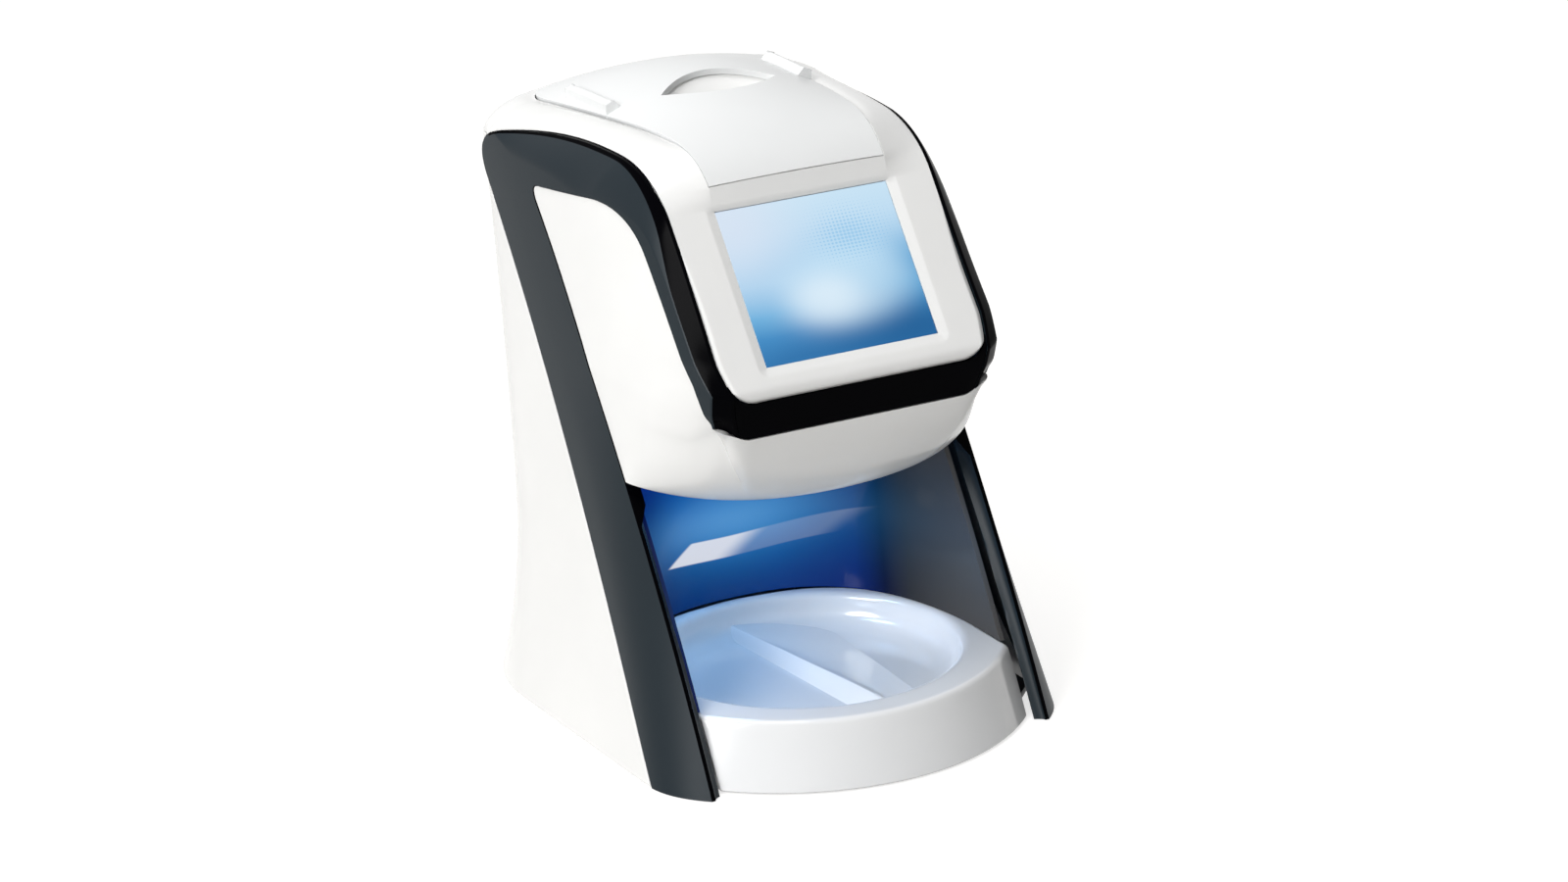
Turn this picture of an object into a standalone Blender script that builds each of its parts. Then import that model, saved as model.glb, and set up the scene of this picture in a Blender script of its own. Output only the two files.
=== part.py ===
"""Phosphor plate scanner, a desk-top reader for dental imaging plates.

A plate goes in through the eye-shaped opening in the lid, a carriage lowers it past the scanning optics,
a lamp erases it, and it drops through the exit flap into the round tray between the two legs.
Metres, +Z up, the front looks towards -Y, and the origin lies on the table under the middle.
"""

import math

import bpy
import numpy as np

# Gaps and cuts
GAP = 0.0003
OVERRUN = 0.002

# Outer form: half-width of the sides
FOOT_HALF_WIDTH = 0.092
HEAD_HALF_WIDTH = 0.076
FLARE_HEIGHT = 0.200
FLARE_EXPONENT = 1.7
LEG_EDGE_HALF_WIDTH = 0.0776
LEG_EDGE_RUN = 0.030
LEG_EDGE_EXPONENT = 2.4
HEAD_TAPER = 0.011
HEAD_TAPER_RUN = 0.110

# Outer form: the sloping face, the roof and the rear
FACE_ANGLE = math.radians(37.3)
FACE_LOW_Y = -0.071
FACE_LOW_Z = 0.1555
STRIP_LOW_Y = -0.0680
STRIP_LOW_Z = 0.137
ELBOW_DROP = 0.0105
ELBOW_TOP_Z = 0.168
ELBOW_RUN = 0.036
ELBOW_EXPONENT = 1.3
RAIL_CREST_Y = 0.018
RAIL_CREST_Z = 0.2313
RAIL_REAR_DROP = 0.0078
RAIL_REAR_RUN = 0.065
REAR_WAIST_Y = 0.0898
REAR_WAIST_Z = 0.070
REAR_FOOT_FLARE = 0.0152
REAR_TOP_LEAN = 0.0192
REAR_TOP_Z = 0.215
REAR_LEAN_EXPONENT = 1.2
REAR_CORNER_TOP = 0.022
REAR_CORNER_FOOT = 0.066
REAR_CORNER_EXPONENT = 1.6
REAR_SEAM_Z = 0.2205

# Roof: the strip above the screen, the lid's crest line, and the lid's joint line beside it
STRIP_HEIGHT = 0.0083
LID_FRONT_Y = -0.0223
LID_REAR_Y = 0.0980
CREST_TOP_Y = 0.0530
CREST_RISE = 0.0148
CREST_FRONT_DROP = 0.0220
CREST_REAR_DROP = 0.0087
CREST_ROUND_SHARE = 0.63
CREST_FRONT_EXPONENT = 8
JOINT_FRONT_DROP = 0.0135
JOINT_TOP_Y = 0.0185
JOINT_RISE = 0.0058
JOINT_REAR_DROP = 0.0043
JOINT_FRONT_EXPONENT = 3.65
JOINT_REAR_EXPONENT = 1.2
LID_FRONT_HALF_WIDTH = 0.0396
LID_CORNER_HALF_WIDTH = 0.0535
LID_REAR_HALF_WIDTH = 0.0465
LID_CORNER_Y = 0.0880
LID_SIDE_EXPONENT = 1.2
LID_ROW_SHARES = (0, 0.044, 0.094, 0.16, 0.227, 0.352, 0.493, 0.626, 0.726, 0.809, 0.875, 0.917, 0.973, 1)
STRIP_ROWS = 2
SIDE_ROWS = 13
SHOULDER_SHARES = (0, 0.03, 0.09, 0.2, 0.42, 0.7, 1)
SHOULDER_EXPONENT = 1.6
SHOULDER_ROOT = 1.6
REAR_STATIONS = 8
RAIL_INSET_FRONT_Y = -0.022
RAIL_INSET_REAR_Y = 0.088
RAIL_INSET_REAR = 0.0006
RAIL_INSET_BULGE = 0.0070
RAIL_INSET_EXPONENT = 1.5
RAIL_EDGE_RUN = 0.018

# Side frames
FRAME_WALL = 0.006
FRAME_BOTTOM_Z = 0.0005
FRAME_EDGE_DEPTH = 0.0048
FRAME_EDGE_RUN = 0.009
LEG_TIP_WALL = 0.0017
LEG_RETURN_X = 0.0722
LEG_BAR_X = 0.0735
LEG_REAR_FOOT_Y = -0.0656
LEG_REAR_SLOPE = 0.7714
LEG_FRONT_FOOT_Y = -0.0884
LEG_TOP_Y = 0.057
LEG_TOP_Z = 0.210
LEG_BOW = 0.0084
REAR_CORNER_REACH = 0.020
FRONT_CORNER_REACH = 0.022
LOOP_RAIL_FRONT = (0.014, 0.2137)
LOOP_CORNER = (-0.004, 0.2135)
LOOP_FACE_TOP = (-0.017, 0.1967)
LOOP_FACE_LOW = (-0.057, 0.151)
LOOP_ELBOW = (-0.0625, 0.1445)
LOOP_END_Y = -0.063
LOOP_REAR_REACH = 0.008

# White shells
SHELL_WALL = 0.0025
INSERT_RECESS = 0.0004
REAR_SHELL_BOTTOM_Z = 0.001
LIP_LOW_Y = -0.0495
LIP_LOW_Z = 0.104
LIP_SIDE_RISE = 0.008
LIP_TOP_EXPONENT = 3.2
LIP_LOW_EXPONENT = 1.72
STRIP_WALL = 0.003

# Lid
EYE_HALF_LENGTH = 0.0260
EYE_HALF_WIDTH = 0.0115
EYE_Y = 0.038
TAB_X = 0.0443
TAB_Y = 0.060
TAB_LENGTH = 0.031
TAB_WIDTH = 0.005
TAB_HEIGHT = 0.0042
TAB_SINK = 0.0015

# Screen
SCREEN_WIDTH = 0.0767
SCREEN_HEIGHT = 0.064
SCREEN_LOW = 0.0105
GLASS_RECESS = 0.001
GLASS_THICKNESS = 0.0012
LCD_WIDTH = 0.082
LCD_HEIGHT = 0.069
LCD_THICKNESS = 0.0045
BOARD_THICKNESS = 0.0016
DISPLAY_CHIP_HEIGHT = 0.003

# Cavity
LINER_CLEARANCE = 0.0012
LINER_FRONT_SET = 0.0088
LINER_BACK_Y = 0.033
LINER_WALL = 0.0022
LINER_BOTTOM_Z = 0.028
LINER_EXPONENT = 2.6
CEILING_Z = 0.112
CEILING_THICKNESS = 0.0022
COVE_RADIUS = 0.008
PATH_Y = 0.017
EXIT_HALF_WIDTH = 0.024
EXIT_FRONT_Y = 0.0115
EXIT_REAR_Y = 0.0225
FLAP_THICKNESS = 0.0012
FLAP_PIN_Y = 0.0200
FLAP_KNUCKLE = 0.0020
FLAP_PIN_RADIUS = 0.0009
CEILING_FRONT_SET = 0.0050
CEILING_SIDE_SET = 0.0060
LAMP_LENS_X = -0.040
LAMP_LENS_Y = -0.010
LAMP_LENS_LENGTH = 0.024
LAMP_LENS_WIDTH = 0.006

# Tray
SKIRT_RADIUS = 0.1037
SKIRT_CENTRE_Y = -0.0072
SKIRT_LEAN = 0.0109
SKIRT_WALL = 0.0027
SKIRT_BOTTOM_Z = 0.001
TRAY_TOP_Z = 0.027
TRAY_TUCK = 0.0015
TRAY_SHOULDER_Y = -0.050
TRAY_REAR_Y = 0.0305
BOWL_RADIUS = 0.057
BOWL_SIDE_RIM = 0.0055
BOWL_CENTRE_Y = -0.0305
BOWL_FLOOR_RADIUS = 0.047
BOWL_FLOOR_Z = 0.014
RIDGE_TOP_Z = 0.0205

# Base
BASE_BOTTOM_Z = 0.0025
BASE_THICKNESS = 0.003
BASE_INSET = 0.0068
BASE_FRONT_RADIUS = 0.098
FOOT_RADIUS = 0.007
FOOT_HEIGHT = 0.0022
FOOT_FRONT_SET = 0.032
FOOT_FRONT_Y = -0.048
FOOT_REAR_SET = 0.042
FOOT_REAR_Y = 0.066
SCREW_HEAD_RADIUS = 0.003
SCREW_HEAD_HEIGHT = 0.0012
SCREW_RADIUS = 0.0015
SCREW_FRONT_SET = 0.016
SCREW_FRONT_Y = -0.040
SCREW_REAR_SET = 0.032
SCREW_REAR_Y = 0.048

# Chassis
PLATE_THICKNESS = 0.0025
BACK_PLATE_Y = 0.062
BACK_PLATE_HALF_WIDTH = 0.050
BACK_PLATE_TOP_Z = 0.2035
SHELF_Z = 0.117
SHELF_HALF_WIDTH = 0.060
SHELF_FRONT_Y = -0.030
BRACKET_FRONT_Y = 0.0235
BRACKET_LEFT_X = -0.040
BRACKET_RIGHT_X = 0.060

# Transport
ROD_X = 0.031
ROD_Y = 0.030
ROD_RADIUS = 0.0025
RUNNING_GAP = 0.0004
SCREW_X = 0.045
SCREW_Y = 0.038
LEAD_SCREW_RADIUS = 0.003
BEARING_RADIUS = 0.007
BEARING_HEIGHT = 0.006
MOTOR_SIZE = 0.026
MOTOR_HEIGHT = 0.019
CARRIAGE_BOTTOM_Z = 0.168
CARRIAGE_TOP_Z = 0.203
CARRIAGE_HALF_WIDTH = 0.0235
CARRIAGE_THICKNESS = 0.006
POCKET_HALF_WIDTH = 0.0195
POCKET_THICKNESS = 0.0026
SLEEVE_RADIUS = 0.0055
SLEEVE_BOTTOM_Z = 0.178
SLEEVE_TOP_Z = 0.198
ARM_THICKNESS = 0.004
NUT_RADIUS = 0.0065
NUT_HEIGHT = 0.010
SLOT_HALF_WIDTH = 0.0205
SLOT_WIDTH = 0.0046
GUIDE_WALL = 0.003
GUIDE_FLOOR_DEPTH = 0.008

# Optics
MIRROR_Y = 0.047
MIRROR_RADIUS = 0.014
MIRROR_HEIGHT = 0.006
MIRROR_SIDES = 8
MIRROR_MOTOR_RADIUS = 0.0125
MIRROR_MOTOR_HEIGHT = 0.030
MIRROR_HUB_RADIUS = 0.004
LENS_HALF_WIDTH = 0.019
LENS_Y = 0.0295
LENS_THICKNESS = 0.005
LENS_HEIGHT = 0.013
LASER_SIZE = (0.016, 0.014, 0.038)
LASER_X = -0.050
BARREL_RADIUS = 0.0035
BARREL_LENGTH = 0.014
TUBE_RADIUS = 0.009
TUBE_CLEARANCE = 0.0129
TUBE_FRONT_Y = 0.036
GUIDE_HALF_WIDTH = 0.020
GUIDE_FRONT_Y = 0.0215
GUIDE_HEIGHT = 0.005
ERASE_HALF_WIDTH = 0.021
ERASE_Y = 0.0235
ERASE_DEPTH = 0.004
ERASE_HEIGHT = 0.009

# Main board and connectors
BOARD_Y = 0.0705
BOARD_HALF_WIDTH = 0.046
BOARD_LOW_Z = 0.050
BOARD_TOP_Z = 0.112
STANDOFF_RADIUS = 0.0025
CHIP_HEIGHT = 0.0025
PANEL_HALF_WIDTH = 0.042
PANEL_LOW_Z = 0.014
PANEL_TOP_Z = 0.046
PANEL_FACE_Y = 0.084
PANEL_WALL = 0.002
PANEL_SET_BACK = 0.0016
SOCKET_PROUD = 0.002
NETWORK_X = -0.022
NETWORK_SIZE = (0.016, 0.015, 0.0135)
NETWORK_MOUTH = (0.0118, 0.0086)
NETWORK_DEPTH = 0.0105
INLET_X = 0.026
INLET_SIZE = (0.012, 0.014, 0.012)
INLET_BORE = 0.0033
INLET_DEPTH = 0.009
SOCKET_Z = 0.030
SWITCH_X = 0.003
SWITCH_SIZE = (0.0125, 0.012, 0.0195)
SWITCH_WALL = 0.0016
ROCKER_TILT = math.radians(9)
ROCKER_DEPTH = 0.006
ROCKER_CLEARANCE = 0.0006


def material(name, color, roughness, metallic=0.0):
    found = bpy.data.materials.get(name)
    if found:
        return found
    made = bpy.data.materials.new(name)
    made.use_nodes = True
    surface = made.node_tree.nodes["Principled BSDF"]
    surface.inputs["Base Color"].default_value = (*color, 1)
    surface.inputs["Roughness"].default_value = roughness
    surface.inputs["Metallic"].default_value = metallic
    return made


def white_gloss():
    return material("white_gloss_plastic", (0.86, 0.86, 0.85), 0.25)


def slate():
    return material("slate_satin_plastic", (0.040, 0.055, 0.066), 0.42)


def steel():
    return material("bright_steel", (0.60, 0.60, 0.61), 0.3, 1.0)


def sheet_metal():
    return material("zinc_sheet", (0.52, 0.53, 0.55), 0.45, 1.0)


def black_plastic():
    return material("black_plastic", (0.015, 0.015, 0.017), 0.4)


def board_green():
    return material("board_green", (0.02, 0.16, 0.07), 0.5)


def add_object(name, verts, faces, finish):
    """Make a mesh object; every face keeps the order given, which has to point outwards."""
    mesh = bpy.data.meshes.new(name)
    mesh.from_pydata([tuple(map(float, v)) for v in verts], [], faces)
    mesh.update()
    made = bpy.data.objects.new(name, mesh)
    bpy.context.scene.collection.objects.link(made)
    if finish:
        mesh.materials.append(finish)
    return made


def smooth(made, angle=math.radians(32)):
    made.data.shade_smooth()
    made.data.set_sharp_from_angle(angle=angle)
    return made


def grid_quads(rows, columns, start=0):
    """Quads of a rows x columns grid of points stored row by row."""
    quads = []
    for i in range(rows - 1):
        for j in range(columns - 1):
            a = start + i * columns + j
            quads.append((a, a + 1, a + columns + 1, a + columns))
    return quads


def signed_volume(verts, faces):
    total = 0.0
    for face in faces:
        a = verts[face[0]]
        for k in range(1, len(face) - 1):
            total += float(np.dot(a, np.cross(verts[face[k]], verts[face[k + 1]])))
    return total


def add_outward(name, verts, faces, finish):
    """Make a closed solid and turn all its faces outwards."""
    verts = np.asarray(verts, float)
    if signed_volume(verts - verts.mean(axis=0), faces) < 0:
        faces = [tuple(reversed(face)) for face in faces]
    return add_object(name, verts, faces, finish)


def thick_skin(name, outer, inner, quads, finish):
    """Close two matching skins into one solid by walling every edge that only one quad uses."""
    outer = np.asarray(outer, float)
    count = len(outer)
    used = {}
    for quad in quads:
        for k in range(len(quad)):
            a, b = quad[k], quad[(k + 1) % len(quad)]
            used[(a, b)] = used.get((a, b), 0) + 1
    faces = list(quads)
    faces += [tuple(count + v for v in reversed(quad)) for quad in quads]
    for a, b in used:
        if (b, a) not in used:
            faces.append((b, a, count + a, count + b))
    return add_outward(name, np.vstack([outer, inner]), faces, finish)


def skin_normals(points, quads):
    """Unit normals at the points of a skin, averaged over its quads."""
    points = np.asarray(points, float)
    corners = points[np.array(quads)]
    faces = np.cross(corners[:, 2] - corners[:, 0], corners[:, 3] - corners[:, 1])
    faces /= np.maximum(np.linalg.norm(faces, axis=1), 1e-12)[:, None]
    normals = np.zeros_like(points)
    for k in range(4):
        np.add.at(normals, np.array(quads)[:, k], faces)
    return normals / np.maximum(np.linalg.norm(normals, axis=1), 1e-12)[:, None]


def outward_normals(points, quads):
    """Normals of a skin, all turned away from the skin's middle."""
    normals = skin_normals(points, quads)
    outwards = np.sum(normals * (points - points.mean(axis=0)))
    return normals if outwards > 0 else -normals


def level_normals(normals, places, axes):
    """Take the given axes out of some normals, so that the wall's edge clears its neighbour."""
    for axis in axes:
        normals[places, axis] = 0
    normals[places] /= np.linalg.norm(normals[places], axis=1)[:, None]


def prism(name, outline, low, high, axis, finish=None):
    """Extrude an outline along an axis: "z" takes (x, y) points, "x" takes (y, z), "y" takes (x, z)."""
    count = len(outline)
    verts = []
    for level in (low, high):
        for a, b in outline:
            verts.append({"z": (a, b, level), "x": (level, a, b), "y": (a, level, b)}[axis])
    faces = [tuple(range(count)), tuple(range(2 * count - 1, count - 1, -1))]
    for k in range(count):
        following = (k + 1) % count
        faces.append((following, k, count + k, count + following))
    return add_outward(name, verts, faces, finish)


def box(name, low, high, finish=None):
    outline = [(low[0], low[1]), (high[0], low[1]), (high[0], high[1]), (low[0], high[1])]
    return prism(name, outline, low[2], high[2], "z", finish)


def circle(centre, radius, steps, turn=0.0):
    """Points of a circle round a centre, in the plane that the caller uses."""
    angles = [turn + 2 * math.pi * k / steps for k in range(steps)]
    return [(centre[0] + radius * math.cos(a), centre[1] + radius * math.sin(a)) for a in angles]


def rod(name, centre, radius, low, high, axis, finish=None, steps=20):
    return smooth(prism(name, circle(centre, radius, steps), low, high, axis, finish))


def hide(made):
    made.hide_render = True
    made.display_type = "WIRE"
    return made


def combine(target, other, operation):
    """Boolean the target with another object, which becomes a hidden guide."""
    step = target.modifiers.new(operation.lower(), "BOOLEAN")
    step.operation = operation
    step.solver = "EXACT"
    step.object = hide(other)
    return target


def cut(target, other):
    return combine(target, other, "DIFFERENCE")


def join(target, other):
    return combine(target, other, "UNION")


def bend(start, corner, end, steps):
    """Points of the quadratic curve that rounds a corner from start to end."""
    t = np.linspace(0, 1, steps + 1)[:, None]
    start, corner, end = (np.asarray(p, float) for p in (start, corner, end))
    return (1 - t) ** 2 * start + 2 * t * (1 - t) * corner + t ** 2 * end


def straight(start, end, steps):
    t = np.linspace(0, 1, steps + 1)[:, None]
    return np.asarray(start, float) * (1 - t) + np.asarray(end, float) * t


def resample(path, steps):
    """The same path with steps equal runs along its length."""
    path = np.asarray(path, float)
    run = np.r_[0, np.cumsum(np.linalg.norm(np.diff(path, axis=0), axis=1))]
    wanted = np.linspace(0, run[-1], steps + 1)
    return np.stack([np.interp(wanted, run, path[:, k]) for k in range(path.shape[1])], axis=1)


def offset(path, distance):
    """The path moved to its left by a distance, seen in its own plane."""
    tangent = np.gradient(np.asarray(path, float), axis=0)
    tangent /= np.linalg.norm(tangent, axis=1)[:, None]
    return path + distance * np.stack([-tangent[:, 1], tangent[:, 0]], axis=1)


def face_y(z):
    """The sloping face's line in side view."""
    return FACE_LOW_Y + (z - FACE_LOW_Z) * math.tan(FACE_ANGLE)


def leg_front_y(z):
    """Front edge of the leg: a chord from foot to top, bowed forwards."""
    share = z / LEG_TOP_Z
    chord = LEG_FRONT_FOOT_Y + (LEG_TOP_Y - LEG_FRONT_FOOT_Y) * share
    return chord - 4 * LEG_BOW * share * (1 - share)


def leg_rear_y(z):
    return LEG_REAR_FOOT_Y + LEG_REAR_SLOPE * z


def rail_z(y):
    """Upper edge of the side frame over the head."""
    return RAIL_CREST_Z - RAIL_REAR_DROP * ((y - RAIL_CREST_Y) / RAIL_REAR_RUN) ** 2


def half_width(y, z):
    """Half-width of the body: flared foot, tapered head front, and the leg's rounded front edge."""
    y, z = np.asarray(y, float), np.asarray(z, float)
    flare = np.clip(1 - z / FLARE_HEIGHT, 0, None) ** FLARE_EXPONENT
    base = HEAD_HALF_WIDTH + (FOOT_HALF_WIDTH - HEAD_HALF_WIDTH) * flare
    ahead = np.clip(1 - (y - face_y(z)) / HEAD_TAPER_RUN, 0, 1)
    fall = STRIP_LOW_Y - (z - STRIP_LOW_Z) * (STRIP_LOW_Y - FACE_LOW_Y) / (FACE_LOW_Z - STRIP_LOW_Z)
    corner = np.clip(1 - (y - np.maximum(face_y(z), fall)) / ELBOW_RUN, 0, 1) ** ELBOW_EXPONENT
    low = np.clip((ELBOW_TOP_Z - z) / (ELBOW_TOP_Z - STRIP_LOW_Z), 0, 1) ** ELBOW_EXPONENT
    on_head = np.where(z < STRIP_LOW_Z - OVERRUN, 0, 1)
    edge = 1 - np.clip((y - leg_front_y(z)) / LEG_EDGE_RUN, 0, 1)
    edge_drop = np.clip(base - LEG_EDGE_HALF_WIDTH, 0, None) * edge ** LEG_EDGE_EXPONENT
    return base - HEAD_TAPER * ahead ** 2 - edge_drop - on_head * ELBOW_DROP * low * corner


def liner_half_width():
    """Half-width of the cavity: what the frames' walls leave at the ceiling, where they stand closest."""
    leg = float(half_width(leg_front_y(CEILING_Z) + LINER_FRONT_SET, CEILING_Z))
    return leg - FRAME_WALL - LINER_WALL - LINER_CLEARANCE


def tray_half_width():
    """Half-width of the tray, whose edge tucks under the liner's wall."""
    return liner_half_width() + TRAY_TUCK


def rear_y(z):
    """The rear wall's line in side view: a waist, a flared foot and a top that leans back."""
    foot = np.clip(1 - z / REAR_WAIST_Z, 0, None) ** 2
    lean = np.clip((z - REAR_WAIST_Z) / (REAR_TOP_Z - REAR_WAIST_Z), 0, None) ** REAR_LEAN_EXPONENT
    return REAR_WAIST_Y + REAR_FOOT_FLARE * foot + REAR_TOP_LEAN * lean


def rear_corner(z):
    share = np.clip(1 - z / REAR_TOP_Z, 0, None) ** REAR_CORNER_EXPONENT
    return REAR_CORNER_TOP + (REAR_CORNER_FOOT - REAR_CORNER_TOP) * share


def rear_outline(z, start_y, inset, steps):
    """Right half of the plan outline at height z, from start_y back round the corner to the centre."""
    radius = rear_corner(z)
    centre_y = rear_y(z) - radius
    centre_x = float(half_width(centre_y, z)) - radius
    side_y = np.linspace(min(start_y, centre_y), centre_y, 12)
    side = np.stack([half_width(side_y, z) - inset, side_y], axis=1)
    turn = np.linspace(0, math.pi / 2, 17)
    reach = radius - inset
    arc = np.stack([centre_x + reach * np.cos(turn), centre_y + reach * np.sin(turn)], axis=1)
    path = np.vstack([side[:-1], arc, [(0, centre_y + reach)]])
    if start_y > centre_y:
        first = math.asin(min((start_y - centre_y) / reach, 1))
        turn = np.linspace(first, math.pi / 2, 17)
        arc = np.stack([centre_x + reach * np.cos(turn), centre_y + reach * np.sin(turn)], axis=1)
        path = np.vstack([arc, [(0, centre_y + reach)]])
    return resample(path, steps)


def rail_inset(y):
    """How far the roof's seam lies inside the body's side: deepest over the head, flush at the rear."""
    share = np.clip((y - RAIL_INSET_FRONT_Y) / (RAIL_INSET_REAR_Y - RAIL_INSET_FRONT_Y), 0, 1)
    share = share ** RAIL_INSET_EXPONENT
    bulge = 4 * RAIL_INSET_BULGE * share * (1 - share)
    return (FRAME_WALL + GAP) * (1 - share) + RAIL_INSET_REAR * share + bulge


def crest_top_z():
    """Height of the lid's highest point, over the frames' rails."""
    return RAIL_CREST_Z + CREST_RISE


def roof_fold():
    """Where the strip leaves the sloping face, as (y, z)."""
    z = crest_top_z() - CREST_FRONT_DROP - STRIP_HEIGHT
    return face_y(z), z


def crest_line():
    """Points (y, z) of the roof's middle: the strip's straight slope, then the lid's rows from front to rear.

    The lid falls to the front by a square law mixed with a high power, and to the rear by a square law.
    """
    y = LID_FRONT_Y + (LID_REAR_Y - LID_FRONT_Y) * np.array(LID_ROW_SHARES)
    ahead = np.clip((CREST_TOP_Y - y) / (CREST_TOP_Y - LID_FRONT_Y), 0, 1)
    behind = np.clip((y - CREST_TOP_Y) / (LID_REAR_Y - CREST_TOP_Y), 0, 1)
    fall = CREST_ROUND_SHARE * ahead ** 2 + (1 - CREST_ROUND_SHARE) * ahead ** CREST_FRONT_EXPONENT
    z = crest_top_z() - CREST_FRONT_DROP * fall - CREST_REAR_DROP * behind ** 2
    slope = straight(roof_fold(), (y[0], z[0]), STRIP_ROWS)
    return np.vstack([slope[:-1], np.stack([y, z], axis=1)])


def joint_line():
    """Points (x, y, z) of the joint beside the strip and the lid: power laws for its width and height, and an
    elliptical corner at the rear."""
    y = crest_line()[STRIP_ROWS:, 0]
    share = np.clip((y - LID_FRONT_Y) / (LID_CORNER_Y - LID_FRONT_Y), 0, 1) ** LID_SIDE_EXPONENT
    side = LID_FRONT_HALF_WIDTH + (LID_CORNER_HALF_WIDTH - LID_FRONT_HALF_WIDTH) * share
    corner = np.clip((y - LID_CORNER_Y) / (LID_REAR_Y - LID_CORNER_Y), 0, 1)
    x = LID_REAR_HALF_WIDTH + (side - LID_REAR_HALF_WIDTH) * np.where(corner > 0, np.sqrt(1 - corner ** 2), 1)
    ahead = np.clip((JOINT_TOP_Y - y) / (JOINT_TOP_Y - LID_FRONT_Y), 0, 1) ** JOINT_FRONT_EXPONENT
    behind = np.clip((y - JOINT_TOP_Y) / (LID_CORNER_Y - JOINT_TOP_Y), 0, 1) ** JOINT_REAR_EXPONENT
    z = RAIL_CREST_Z + JOINT_RISE - JOINT_FRONT_DROP * ahead - JOINT_REAR_DROP * behind
    slope = straight((LID_FRONT_HALF_WIDTH, *roof_fold()), (x[0], y[0], z[0]), STRIP_ROWS)
    return np.vstack([slope[:-1], np.stack([x, y, z], axis=1)])


def lid_height(x, y):
    """Height of the lid's dome: a parabola across from the crest to the joint line."""
    crest = crest_line()
    joint = joint_line()
    top = np.interp(y, crest[:, 0], crest[:, 1])
    edge = np.interp(y, joint[:, 1], joint[:, 2])
    half = np.interp(y, joint[:, 1], joint[:, 0])
    return top + (edge - top) * (x / half) ** 2


def frame_corners():
    """Where the leg's rear line and the face line meet the rail, both in side view."""
    rear_top = np.linspace(LEG_TOP_Z, RAIL_CREST_Z, 200)
    meet = np.argmin(np.abs(rail_z(leg_rear_y(rear_top)) - rear_top))
    rear = (leg_rear_y(rear_top[meet]), rear_top[meet])
    meet = np.argmin(np.abs(rail_z(face_y(rear_top)) - rear_top))
    front = (face_y(rear_top[meet]), rear_top[meet])
    return np.array(rear), np.array(front)


def outer_rear_path():
    """Outer edge of the frame from the foot up the leg's rear and round the top rear corner."""
    rear, _ = frame_corners()
    foot = np.array([leg_rear_y(FRAME_BOTTOM_Z), FRAME_BOTTOM_Z])
    down = (foot - rear) / np.linalg.norm(foot - rear)
    start = rear + down * REAR_CORNER_REACH
    end_y = rear[0] - REAR_CORNER_REACH
    return straight(foot, start, 10), bend(start, rear, (end_y, rail_z(end_y)), 6)


def outer_front_path():
    """Outer edge of the frame from the front corner down the face to the strip's lower edge."""
    _, front = frame_corners()
    start_y = front[0] + FRONT_CORNER_REACH
    down = np.array([-math.sin(FACE_ANGLE), -math.cos(FACE_ANGLE)])
    turn = bend((start_y, rail_z(start_y)), front, front + down * FRONT_CORNER_REACH, 6)
    face = straight(turn[-1], (FACE_LOW_Y, FACE_LOW_Z), 4)
    return turn, face, straight(face[-1], (STRIP_LOW_Y, STRIP_LOW_Z), 3)


def frame_paths():
    """Matching points of the frame's outer and inner edges, from the foot to the strip."""
    leg, rear_turn = outer_rear_path()
    front_turn, face, end = outer_front_path()
    rail_y = np.linspace(rear_turn[-1][0], front_turn[0][0], 5)
    rail = np.stack([rail_y, rail_z(rail_y)], axis=1)
    outer = np.vstack([leg[:-1], rear_turn[:-1], rail[:-1], front_turn[:-1], face[:-1], end])
    low_z = LEG_TOP_Z - LOOP_REAR_REACH
    inner_z = np.linspace(FRAME_BOTTOM_Z, low_z, 11)
    inner_leg = np.stack([leg_front_y(inner_z), inner_z], axis=1)
    top_end = (LEG_TOP_Y - LOOP_REAR_REACH, LEG_TOP_Z + GAP)
    inner_rear = bend(inner_leg[-1], (LEG_TOP_Y, LEG_TOP_Z), top_end, 6)
    inner_rail = straight(top_end, LOOP_RAIL_FRONT, 4)
    inner_front = bend(LOOP_RAIL_FRONT, LOOP_CORNER, LOOP_FACE_TOP, 6)
    inner_face = straight(LOOP_FACE_TOP, LOOP_FACE_LOW, 4)
    inner_end = bend(LOOP_FACE_LOW, LOOP_ELBOW, (LOOP_END_Y, STRIP_LOW_Z), 3)
    parts = [inner_leg[:-1], inner_rear[:-1], inner_rail[:-1], inner_front[:-1], inner_face[:-1], inner_end]
    return outer, np.vstack(parts)


FRAME_LINE_SHARES = (0, 0.07, 0.18, 0.4, 0.7, 0.8, 0.87, 1)
LEG_ROWS = 16


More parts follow.
